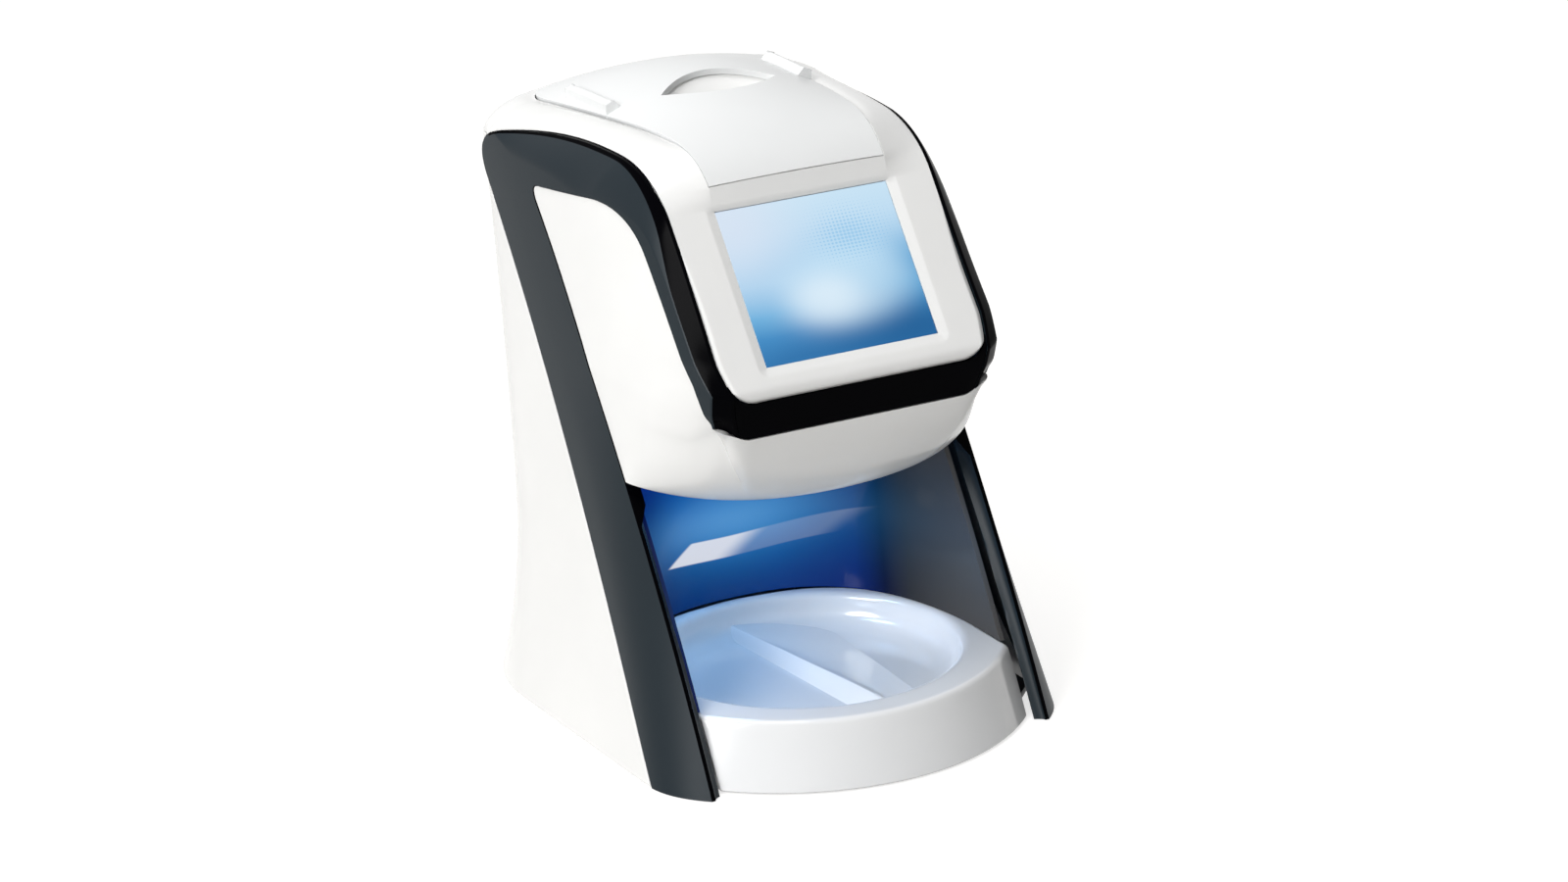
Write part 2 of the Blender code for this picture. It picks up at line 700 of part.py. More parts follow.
def side_frame(name, side):
    """Leg, rail and front band: a plate that follows the body's side and rounds over at its outer edge."""
    outer, inner = frame_paths()
    rows = len(outer)
    share = np.array(FRAME_LINE_SHARES)[None, :, None]
    grid = outer[:, None, :] * (1 - share) + inner[:, None, :] * share
    y, z = grid[..., 0], grid[..., 1]
    width = np.linalg.norm(outer - inner, axis=1)[:, None]
    from_edge = share[..., 0] * width
    row = np.arange(rows)[:, None]
    on_face = y[:, :1] < RAIL_INSET_FRONT_Y
    fade = np.clip(1 - from_edge / np.where(on_face, FRAME_EDGE_RUN, RAIL_EDGE_RUN), 0, 1) ** 2
    depth = np.maximum(rail_inset(outer[:, :1]) - LEG_TIP_WALL, GAP)
    on_leg = (row < LEG_ROWS) & (outer[:, 1:] < REAR_SEAM_Z)
    surface = half_width(y, z) - np.where(on_leg, GAP, depth) * fade
    back = np.minimum(half_width(y, z) - FRAME_WALL, surface - LEG_TIP_WALL + 2 * GAP)
    low_leg = z[:, -1] < LIP_LOW_Z - OVERRUN
    back[low_leg, 5] = LEG_BAR_X
    back[low_leg, 6] = LEG_RETURN_X
    back[low_leg, 7] = surface[low_leg, 7] - LEG_TIP_WALL
    skin = np.stack([side * surface, y, z], axis=-1).reshape(-1, 3)
    liner = np.stack([side * back, y, z], axis=-1).reshape(-1, 3)
    quads = grid_quads(rows, len(FRAME_LINE_SHARES))
    return smooth(thick_skin(name, skin, liner, quads, slate()))


def front_strip():
    """Black strip that closes the front between the two frames, under the screen bezel."""
    top_z, low_z = FACE_LOW_Z - GAP, STRIP_LOW_Z + GAP
    limit = float(half_width(FACE_LOW_Y, FACE_LOW_Z)) - FRAME_WALL - GAP
    low_limit = float(half_width(STRIP_LOW_Y, STRIP_LOW_Z)) - FRAME_WALL - GAP
    shares = np.linspace(-1, 1, 9)
    skin = [(limit * s, FACE_LOW_Y, top_z) for s in shares]
    skin += [(low_limit * s, STRIP_LOW_Y, low_z) for s in shares]
    back_y = FACE_LOW_Y + STRIP_WALL * math.cos(FACE_ANGLE)
    back = [(limit * s, back_y, top_z - STRIP_WALL * math.sin(FACE_ANGLE)) for s in shares]
    back += [(low_limit * s, STRIP_LOW_Y + STRIP_WALL, low_z) for s in shares]
    quads = grid_quads(2, len(shares))
    finish = material("black_gloss_plastic", (0.008, 0.008, 0.010), 0.12)
    return thick_skin("front_strip", skin, back, quads, finish)


LIP_FRONT_STATIONS = 6
LIP_SIDE_STATIONS = 8
LIP_ROWS = 6
LIP_CORNER_ANGLE = math.radians(31)
LIP_SPACING = 1.5
LIP_BLEND = 0.8


def lip_angles():
    """Stations round the lip for the right half, from the centre to the leg."""
    front = np.linspace(0, LIP_CORNER_ANGLE, LIP_FRONT_STATIONS + 1)
    side = np.linspace(LIP_CORNER_ANGLE, math.pi / 2, LIP_SIDE_STATIONS + 1)
    return np.r_[front, side[1:]]


def lip_drop():
    """Height of the lip under the strip at each station."""
    return STRIP_LOW_Z - GAP - LIP_LOW_Z - LIP_SIDE_RISE * np.sin(lip_angles()) ** 3


def lip_top_line():
    """Plan of the lip's upper row: straight under the strip, then round the corner to the leg."""
    corner_y = LOOP_END_Y + 2 * GAP
    end = float(half_width(STRIP_LOW_Y, STRIP_LOW_Z)) - FRAME_EDGE_DEPTH
    front = [(end * k / (LIP_FRONT_STATIONS - 1), STRIP_LOW_Y) for k in range(LIP_FRONT_STATIONS)]
    share = np.linspace(0, 1, LIP_SIDE_STATIONS + 1) ** LIP_SPACING
    y = corner_y + (leg_front_y(STRIP_LOW_Z) - GAP - corner_y) * share
    nose = FRAME_EDGE_DEPTH * np.clip(1 - (y - STRIP_LOW_Y) / FRAME_EDGE_RUN, 0, 1) ** 2
    side = np.stack([half_width(y, STRIP_LOW_Z) - nose - INSERT_RECESS, y], axis=1)
    return np.vstack([front, side])


def lip_row(turn):
    """One row of the lip: it starts as the upper line and turns into a rounder superellipse below.

    turn goes from 0 at the strip to a right angle at the lower edge, and may differ by station.
    """
    angle = lip_angles()
    turn = turn + np.zeros_like(angle)
    z = STRIP_LOW_Z - GAP - lip_drop() * np.sin(turn)
    front = LIP_LOW_Y + (STRIP_LOW_Y - LIP_LOW_Y) * np.cos(turn)
    rear = leg_front_y(z) - GAP
    exponent = LIP_TOP_EXPONENT + (LIP_LOW_EXPONENT - LIP_TOP_EXPONENT) * np.sin(turn) ** 2
    width = half_width(rear, z) - INSERT_RECESS
    x = width * np.sin(angle) ** (2 / exponent)
    y = rear - (rear - front) * np.cos(angle) ** (2 / exponent)
    top = lip_top_line()
    ahead = (top[:, 1] - top[-1, 1]) / (STRIP_LOW_Y - top[-1, 1])
    share = np.sin(turn) ** LIP_BLEND
    x = (top[:, 0] + (width - top[-1, 0]) * (1 - ahead)) * (1 - share) + x * share
    y = (rear + (front - rear) * ahead) * (1 - share) + y * share
    return np.stack([x, y, z], axis=1)


def insert_rows():
    """Rows of the right side insert above the lip, inside the frame's loop."""
    _, inner = frame_paths()
    inner = offset(inner, GAP)
    count = 11 + 6
    rear = inner[:count - 6]
    rear = rear[rear[:, 1] > STRIP_LOW_Z + OVERRUN]
    front = resample(inner[count - 1:-1][::-1], 9)
    rear = resample(np.vstack([[(leg_front_y(STRIP_LOW_Z) - GAP, STRIP_LOW_Z)], rear]), 9)
    corner = resample(inner[count - 7:count], LIP_SIDE_STATIONS)[::-1]
    share = np.linspace(0, 1, LIP_SIDE_STATIONS + 1)[:, None]
    rows = []
    for k in range(1, 10):
        line = front[k] * (1 - share) + rear[k] * share
        if k == 9:
            line = corner
        rows.append(np.column_stack([half_width(line[:, 0], line[:, 1]) - INSERT_RECESS, line]))
    return rows


def lower_head_shell():
    """White shell of the head: an insert in each frame's loop, joined by the rounded lip underneath."""
    turns = np.linspace(0, math.pi / 2, LIP_ROWS + 1)
    half = np.array([lip_row(turn) for turn in turns])
    flip = np.array([-1, 1, 1])
    lip = np.concatenate([half[:, :0:-1] * flip, half], axis=1)
    right = insert_rows()
    skin = np.vstack([lip.reshape(-1, 3)] + right + [row * flip for row in right])
    across = 2 * (LIP_FRONT_STATIONS + LIP_SIDE_STATIONS) + 1
    quads = grid_quads(LIP_ROWS + 1, across)
    middle = LIP_FRONT_STATIONS + LIP_SIDE_STATIONS
    columns = LIP_SIDE_STATIONS + 1
    start = across * (LIP_ROWS + 1)
    for mirror in (False, True):
        line = [middle + LIP_FRONT_STATIONS + j for j in range(columns)]
        if mirror:
            line = [middle - LIP_FRONT_STATIONS - j for j in range(columns)]
        for _ in range(9):
            above = [start + j for j in range(columns)]
            for j in range(columns - 1):
                quad = (line[j + 1], line[j], above[j], above[j + 1])
                quads.append(tuple(reversed(quad)) if mirror else quad)
            line = above
            start += columns
    normals = outward_normals(skin, quads)
    level_normals(normals, [row * across + k for row in range(LIP_ROWS + 1) for k in (0, across - 1)], (1,))
    level_normals(normals, list(range(across)), (2,))
    return smooth(thick_skin("lower_head_shell", skin, skin - SHELL_WALL * normals, quads, white_gloss()))


def seam_path():
    """Right seam of the roof in side view: over the rail, then down round the rear corner."""
    turn, face, _ = outer_front_path()
    _, rear_turn = outer_rear_path()
    rear = rear_turn[rear_turn[:, 1] > REAR_SEAM_Z][::-1]
    low = rear_turn[rear_turn[:, 1] <= REAR_SEAM_Z][-1]
    share = (REAR_SEAM_Z - rear[-1][1]) / (low[1] - rear[-1][1])
    end = rear[-1] + (low - rear[-1]) * share
    rail_y = np.linspace(turn[0][0], rear[0][0], 9)
    rail = np.stack([rail_y, rail_z(rail_y)], axis=1)
    start = crest_line()[:1]
    path = np.vstack([start, turn[::-1][1:], rail[1:-1], rear, [end]])
    outward = offset(path, GAP)
    outward[0] = start
    return outward[:-len(rear)], outward[-len(rear) - 1:]


def roof_stations():
    """Matching points of the seam and the lid's joint line, for the right half from front to rear middle."""
    joint = joint_line()
    side = joint[:SIDE_ROWS + 1]
    over, down = seam_path()
    over = resample(over, 400)
    run = np.r_[0, np.cumsum(np.linalg.norm(np.diff(side[:len(side) - len(down) + 1, 1:], axis=0), axis=1))]
    place = run / run[-1] * (len(over) - 1)
    y = np.r_[np.interp(place, np.arange(len(over)), over[:, 0]), down[1:, 0]]
    z = np.r_[np.interp(place, np.arange(len(over)), over[:, 1]), down[1:, 1]]
    seam = np.stack([half_width(y, z) - rail_inset(y), y, z], axis=1)
    level = seam[-1, 2]
    start_y = float(seam[-1, 1])
    around = rear_outline(level, start_y, RAIL_INSET_REAR, REAR_STATIONS)[1:]
    around = np.column_stack([around, np.full(len(around), level)])
    half_columns = LID_COLUMNS // 2
    corner = np.vstack([joint[SIDE_ROWS + 1:-1], lid_rows(-1, None, 0.0)[0, half_columns:][::-1]])
    return np.vstack([seam, around]), np.vstack([side, corner])


def shoulder(seam, joint):
    """Section of the shoulder from the seam up its wall and over to the joint line."""
    share = np.array(SHOULDER_SHARES)[None, :, None]
    rise = (1 - (1 - share) ** SHOULDER_EXPONENT) ** (1 / SHOULDER_ROOT)
    points = seam[:, None, :] + (joint - seam)[:, None, :] * share
    points[..., 2] = seam[:, None, 2] + (joint - seam)[:, None, 2] * rise[..., 0]
    return points


LID_COLUMNS = 13


def lid_rows(first, last, inset):
    """Rows of points across the dome between the joint lines; inset narrows them."""
    crest = crest_line()[first:last]
    joint = joint_line()[first:last]
    share = np.linspace(-1, 1, LID_COLUMNS)[None, :]
    grow = (joint[:, 0] - inset) / joint[:, 0]
    x = joint[:, :1] * share * grow[:, None]
    bow = (share * grow[:, None]) ** 2
    y = crest[:, :1] + (joint[:, 1:2] - crest[:, :1]) * bow
    z = crest[:, 1:] + (joint[:, 2:] - crest[:, 1:]) * bow
    return np.stack([x, y, z], axis=-1)


def lid_solid(name, above, below, inset, finish):
    """The lid's dome as a solid between two depths from its surface."""
    grid = lid_rows(STRIP_ROWS, None, inset)
    grid[0] += (grid[1] - grid[0]) * inset / np.linalg.norm(grid[1] - grid[0], axis=1)[:, None]
    grid[-1, :, 1] -= inset
    quads = grid_quads(*grid.shape[:2])
    points = grid.reshape(-1, 3)
    normals = outward_normals(points, quads)
    return smooth(thick_skin(name, points + above * normals, points - below * normals, quads, finish))


FACE_ROWS = 4


def hood_skin():
    """Points and quads of the bezel, the strip above the screen, and the shoulders round the lid."""
    seam, joint = roof_stations()
    section = shoulder(seam, joint)
    columns = len(SHOULDER_SHARES)
    low_z = outer_front_path()[1][:0:-1, 1] + GAP
    rows = []
    for z in low_z:
        y = face_y(z)
        edge = np.array([[float(half_width(y, z)) - FRAME_WALL - GAP, y, z]])
        side = shoulder(edge, np.array([[LID_FRONT_HALF_WIDTH, y, z]]))[0]
        middle = np.linspace(-LID_FRONT_HALF_WIDTH, LID_FRONT_HALF_WIDTH, LID_COLUMNS)
        middle = np.stack([middle, np.full_like(middle, y), np.full_like(middle, z)], axis=1)
        rows.append((side, middle))
    strip = lid_rows(0, STRIP_ROWS + 1, 0.0)
    for k in range(STRIP_ROWS + 1):
        rows.append((section[k], strip[k]))
    flip = np.array([-1, 1, 1])
    points = [np.vstack([side * flip, middle[1:-1], side[::-1]]) for side, middle in rows]
    across = 2 * columns + LID_COLUMNS - 2
    quads = grid_quads(len(points), across)
    last = (len(points) - 1) * across
    right = [last + across - 1 - k for k in range(columns)]
    left = [last + k for k in range(columns)]
    ring = list(section[STRIP_ROWS + 1:]) + [row * flip for row in section[STRIP_ROWS + 1:-1][::-1]]
    start = len(points) * across
    line = right
    for k in range(len(ring) + 1):
        following = [start + k * columns + j for j in range(columns)] if k < len(ring) else left
        quads += [(line[j + 1], line[j], following[j], following[j + 1]) for j in range(columns - 1)]
        line = following
    return np.vstack(points + ring), quads


def eye_outline(grow):
    """Plan of the loading opening: two arcs that meet in a point at each end."""
    share = np.linspace(-1, 1, 13)
    x = (EYE_HALF_LENGTH + grow) * share
    y = (EYE_HALF_WIDTH + grow) * (1 - share ** 2)
    lower = [(a, EYE_Y - b) for a, b in zip(x, y)]
    upper = [(a, EYE_Y + b) for a, b in zip(x, y)][-2:0:-1]
    return lower + upper


def face_box(name, width, height, low, high, finish=None, centre_shift=0.0):
    """A box laid on the sloping face: width across, height up the slope, between two depths."""
    made = box(name, (-width / 2, -height / 2, -high), (width / 2, height / 2, -low), finish)
    up = SCREEN_LOW + SCREEN_HEIGHT / 2 + centre_shift
    made.location = (0, FACE_LOW_Y + up * math.sin(FACE_ANGLE), FACE_LOW_Z + up * math.cos(FACE_ANGLE))
    made.rotation_euler = (math.pi / 2 - FACE_ANGLE, 0, 0)
    return made


def front_hood():
    """Bezel round the screen and shoulders round the lid, in one white moulding."""
    points, quads = hood_skin()
    normals = outward_normals(points, quads)
    columns = len(SHOULDER_SHARES)
    across = 2 * columns + LID_COLUMNS - 2
    start = (FACE_ROWS + STRIP_ROWS + 1) * across
    ring = np.arange(start, len(points))
    seam = ring[::columns]
    level_normals(normals, seam, (2,))
    level_normals(normals, seam[points[seam, 1] < seam_path()[1][-1, 0] + GAP], (1, 2))
    level_normals(normals, ring[columns - 1::columns], (0,))
    behind = ring[columns - 1::columns]
    level_normals(normals, behind[points[behind, 1] > LID_CORNER_Y - GAP], (0, 1))
    top = np.arange(start - across + columns - 1, start - columns + 1)
    crest = crest_line()
    rise = crest[STRIP_ROWS + 1] - crest[STRIP_ROWS]
    normals[top] = np.array([0, -rise[1], rise[0]]) / np.linalg.norm(rise)
    hood = smooth(thick_skin("front_hood", points, points - SHELL_WALL * normals, quads, white_gloss()))
    width, height = SCREEN_WIDTH + 2 * GAP, SCREEN_HEIGHT + 2 * GAP
    return cut(hood, face_box("hood_screen_cut", width, height, -OVERRUN, SHELL_WALL + OVERRUN))


def top_cover():
    """Lid with the eye-shaped loading opening and a raised finger tab at each side."""
    lid = lid_solid("top_cover", 0.0, SHELL_WALL, GAP, material("white_satin_plastic", (0.85, 0.86, 0.86), 0.4))
    cut(lid, prism("cover_eye_cut", eye_outline(0.0), roof_fold()[1], crest_top_z() + OVERRUN, "z"))
    near, far = TAB_Y - TAB_LENGTH / 2, TAB_Y + TAB_LENGTH / 2
    front_z, rear_z = float(lid_height(TAB_X, near)), float(lid_height(TAB_X, far))
    outline = [(near, front_z - TAB_SINK), (far, rear_z - TAB_SINK), (far - TAB_SINK, rear_z + TAB_HEIGHT),
               (near + TAB_SINK, front_z + TAB_HEIGHT)]
    for side in (-1, 1):
        inner, outer = TAB_X - TAB_WIDTH / 2, TAB_X + TAB_WIDTH / 2
        name = "cover_tab_left" if side < 0 else "cover_tab_right"
        join(lid, prism(name, outline, *sorted((side * inner, side * outer)), "x"))
    return lid


def rear_shell():
    """White rear shell: the sides behind the legs and the back, up to the roof's seam."""
    leg, turn = outer_rear_path()
    edge = offset(np.vstack([leg[:-1], turn]), -GAP)
    top_z = REAR_SEAM_Z - GAP
    stations = 16
    levels = np.r_[REAR_SHELL_BOTTOM_Z, edge[(edge[:, 1] > OVERRUN) & (edge[:, 1] < top_z - GAP), 1], top_z]
    skins = []
    for inset in (0.0, SHELL_WALL):
        rows = []
        for z in levels:
            start = float(np.interp(z, edge[:, 1], edge[:, 0]))
            path = rear_outline(z, start, inset, stations)
            rows.append(np.column_stack([path, np.full(len(path), z)]))
        half = np.array(rows)
        mirrored = half[:, -2::-1] * np.array([-1, 1, 1])
        skins.append(np.concatenate([half, mirrored], axis=1).reshape(-1, 3))
    quads = grid_quads(len(levels), 2 * stations + 1)
    shell = smooth(thick_skin("rear_shell", skins[0], skins[1], quads, white_gloss()))
    near = PANEL_FACE_Y - OVERRUN
    window = box("rear_panel_cut", (-PANEL_HALF_WIDTH - GAP, near, PANEL_LOW_Z - GAP),
                 (PANEL_HALF_WIDTH + GAP, near + SKIRT_RADIUS, PANEL_TOP_Z + GAP))
    return cut(shell, window)


def screen_parts():
    """Touch glass in the bezel's opening, display panel behind it, and the board that drives it."""
    glass_low, glass_high = GLASS_RECESS, GLASS_RECESS + GLASS_THICKNESS
    glass = material("touch_glass", (0.35, 0.62, 0.85), 0.06)
    face_box("touch_glass", SCREEN_WIDTH, SCREEN_HEIGHT, glass_low, glass_high, glass)
    front = SHELL_WALL + GAP
    back = front + LCD_THICKNESS
    face_box("display_panel", LCD_WIDTH, LCD_HEIGHT, front, back, sheet_metal())
    low = back + GAP
    board = face_box("display_board", LCD_WIDTH, LCD_HEIGHT, low, low + BOARD_THICKNESS, board_green())
    chips = low + BOARD_THICKNESS + DISPLAY_CHIP_HEIGHT
    width, height = LCD_WIDTH / 4, LCD_HEIGHT / 4
    chip = face_box("display_chip", width, height, low + BOARD_THICKNESS / 2, chips)
    return join(board, chip)


def liner_curve(half, front, back, exponent, angles):
    """Plan of the cavity wall: a superellipse from one leg round the back to the other."""
    x = half * np.sign(np.sin(angles)) * np.abs(np.sin(angles)) ** (2 / exponent)
    y = front + (back - front) * np.abs(np.cos(angles)) ** (2 / exponent)
    return x, y


LINER_STATIONS = 25


def cavity_liner():
    """Dark blue glossy wall behind the tray, coved forward into the ceiling at the top."""
    angles = np.linspace(-math.pi / 2, math.pi / 2, LINER_STATIONS)
    cove_z = CEILING_Z - COVE_RADIUS
    levels = [(z, 0.0, 0.0) for z in np.linspace(LINER_BOTTOM_Z, cove_z, 6)]
    for turn in np.linspace(0, math.pi / 2, 5)[1:]:
        levels.append((cove_z + COVE_RADIUS * math.sin(turn), COVE_RADIUS * (1 - math.cos(turn)), turn))
    skins = []
    for wall in (0.0, LINER_WALL):
        rows = []
        for z, inset, turn in levels:
            grow = wall * math.cos(turn)
            front = leg_front_y(z) + LINER_FRONT_SET
            back = LINER_BACK_Y - inset + grow
            x, y = liner_curve(liner_half_width() + wall, front, back, LINER_EXPONENT, angles)
            rows.append(np.stack([x, y, np.full_like(x, z + wall * math.sin(turn))], axis=1))
        skins.append(np.vstack(rows))
    quads = grid_quads(len(levels), LINER_STATIONS)
    finish = material("cavity_blue_gloss", (0.012, 0.045, 0.19), 0.12)
    return smooth(thick_skin("cavity_liner", skins[0], skins[1], quads, finish))


def cavity_ceiling():
    """Ceiling over the tray, with the exit slot and the lamp's window."""
    angles = np.linspace(-math.pi / 2, math.pi / 2, LINER_STATIONS)
    front = leg_front_y(CEILING_Z) + LINER_FRONT_SET
    half = liner_half_width() - GAP
    x, y = liner_curve(half, front, LINER_BACK_Y - COVE_RADIUS - GAP, LINER_EXPONENT, angles)
    rear_edge = list(zip(x, y))
    turn = np.arcsin(np.clip((STRIP_LOW_Z - GAP - CEILING_Z) / lip_drop(), 0, 1))
    angle = lip_angles()
    lip = lip_row(turn)
    lip[:, 0] -= CEILING_SIDE_SET * np.sin(angle) ** 2
    lip[:, 1] += CEILING_FRONT_SET + CEILING_SIDE_SET * np.sin(angle) ** 4
    lip = lip[lip[:, 0] < half - OVERRUN]
    lip = np.vstack([lip[:0:-1] * np.array([-1, 1, 1]), lip])[::-1]
    outline = rear_edge + [(p[0], p[1]) for p in lip]
    ceiling = prism("cavity_ceiling", outline, CEILING_Z, CEILING_Z + CEILING_THICKNESS, "z", slate())
    low, high = CEILING_Z - OVERRUN, CEILING_Z + CEILING_THICKNESS + OVERRUN
    cut(ceiling, box("exit_slot_cut", (-EXIT_HALF_WIDTH, EXIT_FRONT_Y, low),
                     (EXIT_HALF_WIDTH, EXIT_REAR_Y, high)))
    half_length, half_depth = LAMP_LENS_LENGTH / 2 + GAP, LAMP_LENS_WIDTH / 2 + GAP
    cut(ceiling, box("lamp_window_cut", (LAMP_LENS_X - half_length, LAMP_LENS_Y - half_depth, low),
                     (LAMP_LENS_X + half_length, LAMP_LENS_Y + half_depth, high)))
    return ceiling


def cavity_lamp_lens():
    """Blue lens bar of the cavity lamp: it fills its window and bears on the ceiling with a flange."""
    half_length, half_depth = LAMP_LENS_LENGTH / 2, LAMP_LENS_WIDTH / 2
    top = CEILING_Z + CEILING_THICKNESS + GAP
    finish = material("lamp_blue", (0.20, 0.55, 0.95), 0.15)
    lens = box("cavity_lamp_lens", (LAMP_LENS_X - half_length, LAMP_LENS_Y - half_depth, CEILING_Z - GAP),
               (LAMP_LENS_X + half_length, LAMP_LENS_Y + half_depth, top + GAP), finish)
    flange = box("lamp_flange", (LAMP_LENS_X - half_length - OVERRUN, LAMP_LENS_Y - half_depth - OVERRUN, top),
                 (LAMP_LENS_X + half_length + OVERRUN, LAMP_LENS_Y + half_depth + OVERRUN, top + OVERRUN))
    return join(lens, flange)


def exit_flap():
    """Flap that closes the exit slot, with a knuckle round its pin."""
    pin_z = CEILING_Z + CEILING_THICKNESS / 2
    half = EXIT_HALF_WIDTH - GAP
    finish = black_plastic()
    flap = box("exit_flap", (-half, EXIT_FRONT_Y + GAP - FLAP_PIN_Y, -FLAP_THICKNESS / 2),
               (half, 0, FLAP_THICKNESS / 2), finish)
    flap.location = (0, FLAP_PIN_Y, pin_z)
    reach = half - EXIT_HALF_WIDTH / 4
    join(flap, rod("flap_knuckle", (FLAP_PIN_Y, pin_z), FLAP_KNUCKLE, -reach, reach, "x"))
    bore = FLAP_PIN_RADIUS + RUNNING_GAP
    cut(flap, rod("flap_bore", (FLAP_PIN_Y, pin_z), bore, -half - OVERRUN, half + OVERRUN, "x"))
    rod("exit_flap_pin", (FLAP_PIN_Y, pin_z), FLAP_PIN_RADIUS, -half, half, "x", steel(), 12)
    return flap


def skirt_radius(z):
    return SKIRT_RADIUS - SKIRT_LEAN * z / TRAY_TOP_Z


def tray_outline(z, grow=0.0):
    """Plan of the tray at height z: front arc, straight sides, and a back that fits the cavity."""
    radius = skirt_radius(z)
    half = tray_half_width()
    half_angle = math.asin(half / radius)
    arc = np.linspace(-half_angle, half_angle, 25)
    front = [(radius * math.sin(a), SKIRT_CENTRE_Y - radius * math.cos(a)) for a in arc]
    angles = np.linspace(math.pi / 2, -math.pi / 2, 25)
    x, y = liner_curve(half, TRAY_SHOULDER_Y, TRAY_REAR_Y, LINER_EXPONENT, angles)
    return front + list(zip(x, y))


def bowl_profile():
    """Turned profile of the bowl: floor, rounded wall and a soft rim, as radius and height."""
    floor = [(0, BOWL_FLOOR_Z), (BOWL_FLOOR_RADIUS, BOWL_FLOOR_Z)]
    wall = bend((BOWL_FLOOR_RADIUS, BOWL_FLOOR_Z), (BOWL_RADIUS - OVERRUN, BOWL_FLOOR_Z),
                (BOWL_RADIUS - OVERRUN / 2, TRAY_TOP_Z - OVERRUN), 5)
    rim = [(BOWL_RADIUS, TRAY_TOP_Z), (BOWL_RADIUS, TRAY_TOP_Z + OVERRUN), (0, TRAY_TOP_Z + OVERRUN)]
    return floor[:1] + [tuple(p) for p in wall] + rim


def bowl_stretch():
    """How much wider than deep the bowl is: its side rim follows the tray's width."""
    return (tray_half_width() - BOWL_SIDE_RIM) / BOWL_RADIUS


def bowl_circle(radius, steps):
    """Circle round the bowl's centre, stretched across."""
    return [(x * bowl_stretch(), y) for x, y in circle((0, BOWL_CENTRE_Y), radius, steps)]


def bowl_cutter():
    """Turned solid, stretched across, that hollows the bowl."""
    profile = bowl_profile()
    steps = 48
    verts = [(0, BOWL_CENTRE_Y, profile[0][1]), (0, BOWL_CENTRE_Y, profile[-1][1])]
    ring = profile[1:-1]
    for radius, z in ring:
        verts += [(x, y, z) for x, y in bowl_circle(radius, steps)]
    faces = []
    last = 2 + (len(ring) - 1) * steps
    for k in range(steps):
        following = (k + 1) % steps
        faces.append((0, 2 + following, 2 + k))
        faces.append((1, last + k, last + following))
        for level in range(len(ring) - 1):
            a = 2 + level * steps
            faces.append((a + k, a + following, a + steps + following, a + steps + k))
    return add_outward("bowl_cut", verts, faces, None)


RIDGE_BACK_SHARES = (-0.36, -0.20, 0.56)
RIDGE_FRONT_SHARES = (-0.13, 0.05, 0.43)


def ridge():
    """Wedge on the bowl's floor: a steep face on the left and a long fall to the right."""
    back_y = BOWL_CENTRE_Y + BOWL_FLOOR_RADIUS
    front_y = BOWL_CENTRE_Y - BOWL_FLOOR_RADIUS
    low = BOWL_FLOOR_Z - OVERRUN
    verts = []
    for y, shares in ((back_y, RIDGE_BACK_SHARES), (front_y, RIDGE_FRONT_SHARES)):
        left, crest, right = (share * BOWL_RADIUS * bowl_stretch() for share in shares)
        verts += [(left, y, low), (right, y, low), (right, y, BOWL_FLOOR_Z + GAP),
                  (crest, y, RIDGE_TOP_Z), (left, y, BOWL_FLOOR_Z + GAP)]
    faces = [(0, 1, 2, 3, 4), (9, 8, 7, 6, 5)]
    for k in range(5):
        following = (k + 1) % 5
        faces.append((following, k, 5 + k, 5 + following))
    wedge = add_outward("ridge", verts, faces, None)
    limit = prism("ridge_limit", bowl_circle(BOWL_FLOOR_RADIUS + OVERRUN, 48), low - OVERRUN, TRAY_TOP_Z, "z")
    return combine(wedge, limit, "INTERSECT")


def receptacle_tray():
    """White pull-out tray: skirt, deck and round bowl with the ridge that helps to pick a plate up."""
    low, high = tray_outline(SKIRT_BOTTOM_Z), tray_outline(TRAY_TOP_Z)
    count = len(low)
    verts = [(x, y, SKIRT_BOTTOM_Z) for x, y in low] + [(x, y, TRAY_TOP_Z) for x, y in high]
    faces = [tuple(range(count)), tuple(range(2 * count - 1, count - 1, -1))]
    faces += [((k + 1) % count, k, count + k, count + (k + 1) % count) for k in range(count)]
    tray = smooth(add_outward("receptacle_tray", verts, faces, white_gloss()))
    deck_z = BASE_BOTTOM_Z + BASE_THICKNESS + GAP
    under = circle((0, SKIRT_CENTRE_Y), SKIRT_RADIUS - SKIRT_WALL, 72)
    cut(tray, prism("tray_under_cut", under, SKIRT_BOTTOM_Z - OVERRUN, deck_z, "z"))
    cut(tray, bowl_cutter())
    return join(tray, ridge())


def base_plate():
    """Flat plate that closes the bottom and carries the feet, the chassis and the tray."""
    z = BASE_BOTTOM_Z
    right = rear_outline(z, leg_rear_y(z) + OVERRUN, BASE_INSET, 24)
    half_angle = math.asin(tray_half_width() / BASE_FRONT_RADIUS)
    arc = np.linspace(half_angle, 0, 9)
    front = [(BASE_FRONT_RADIUS * math.sin(a), SKIRT_CENTRE_Y - BASE_FRONT_RADIUS * math.cos(a)) for a in arc]
    half = [tuple(p) for p in right[::-1]] + front
    outline = half + [(-x, y) for x, y in half[-2:0:-1]]
    top = z + BASE_THICKNESS
    plate = prism("base_plate", outline, z, top, "z", sheet_metal())
    for index, (x, y) in enumerate(screw_spots()):
        name = "base_screw_hole_%d" % (index + 1)
        cut(plate, rod(name, (x, y), SCREW_RADIUS + GAP, z - OVERRUN, top + OVERRUN, "z"))
    return plate


def spots(front, rear):
    """The four places made by mirroring a front and a rear place."""
    return [(side * x, y) for x, y in (front, rear) for side in (-1, 1)]


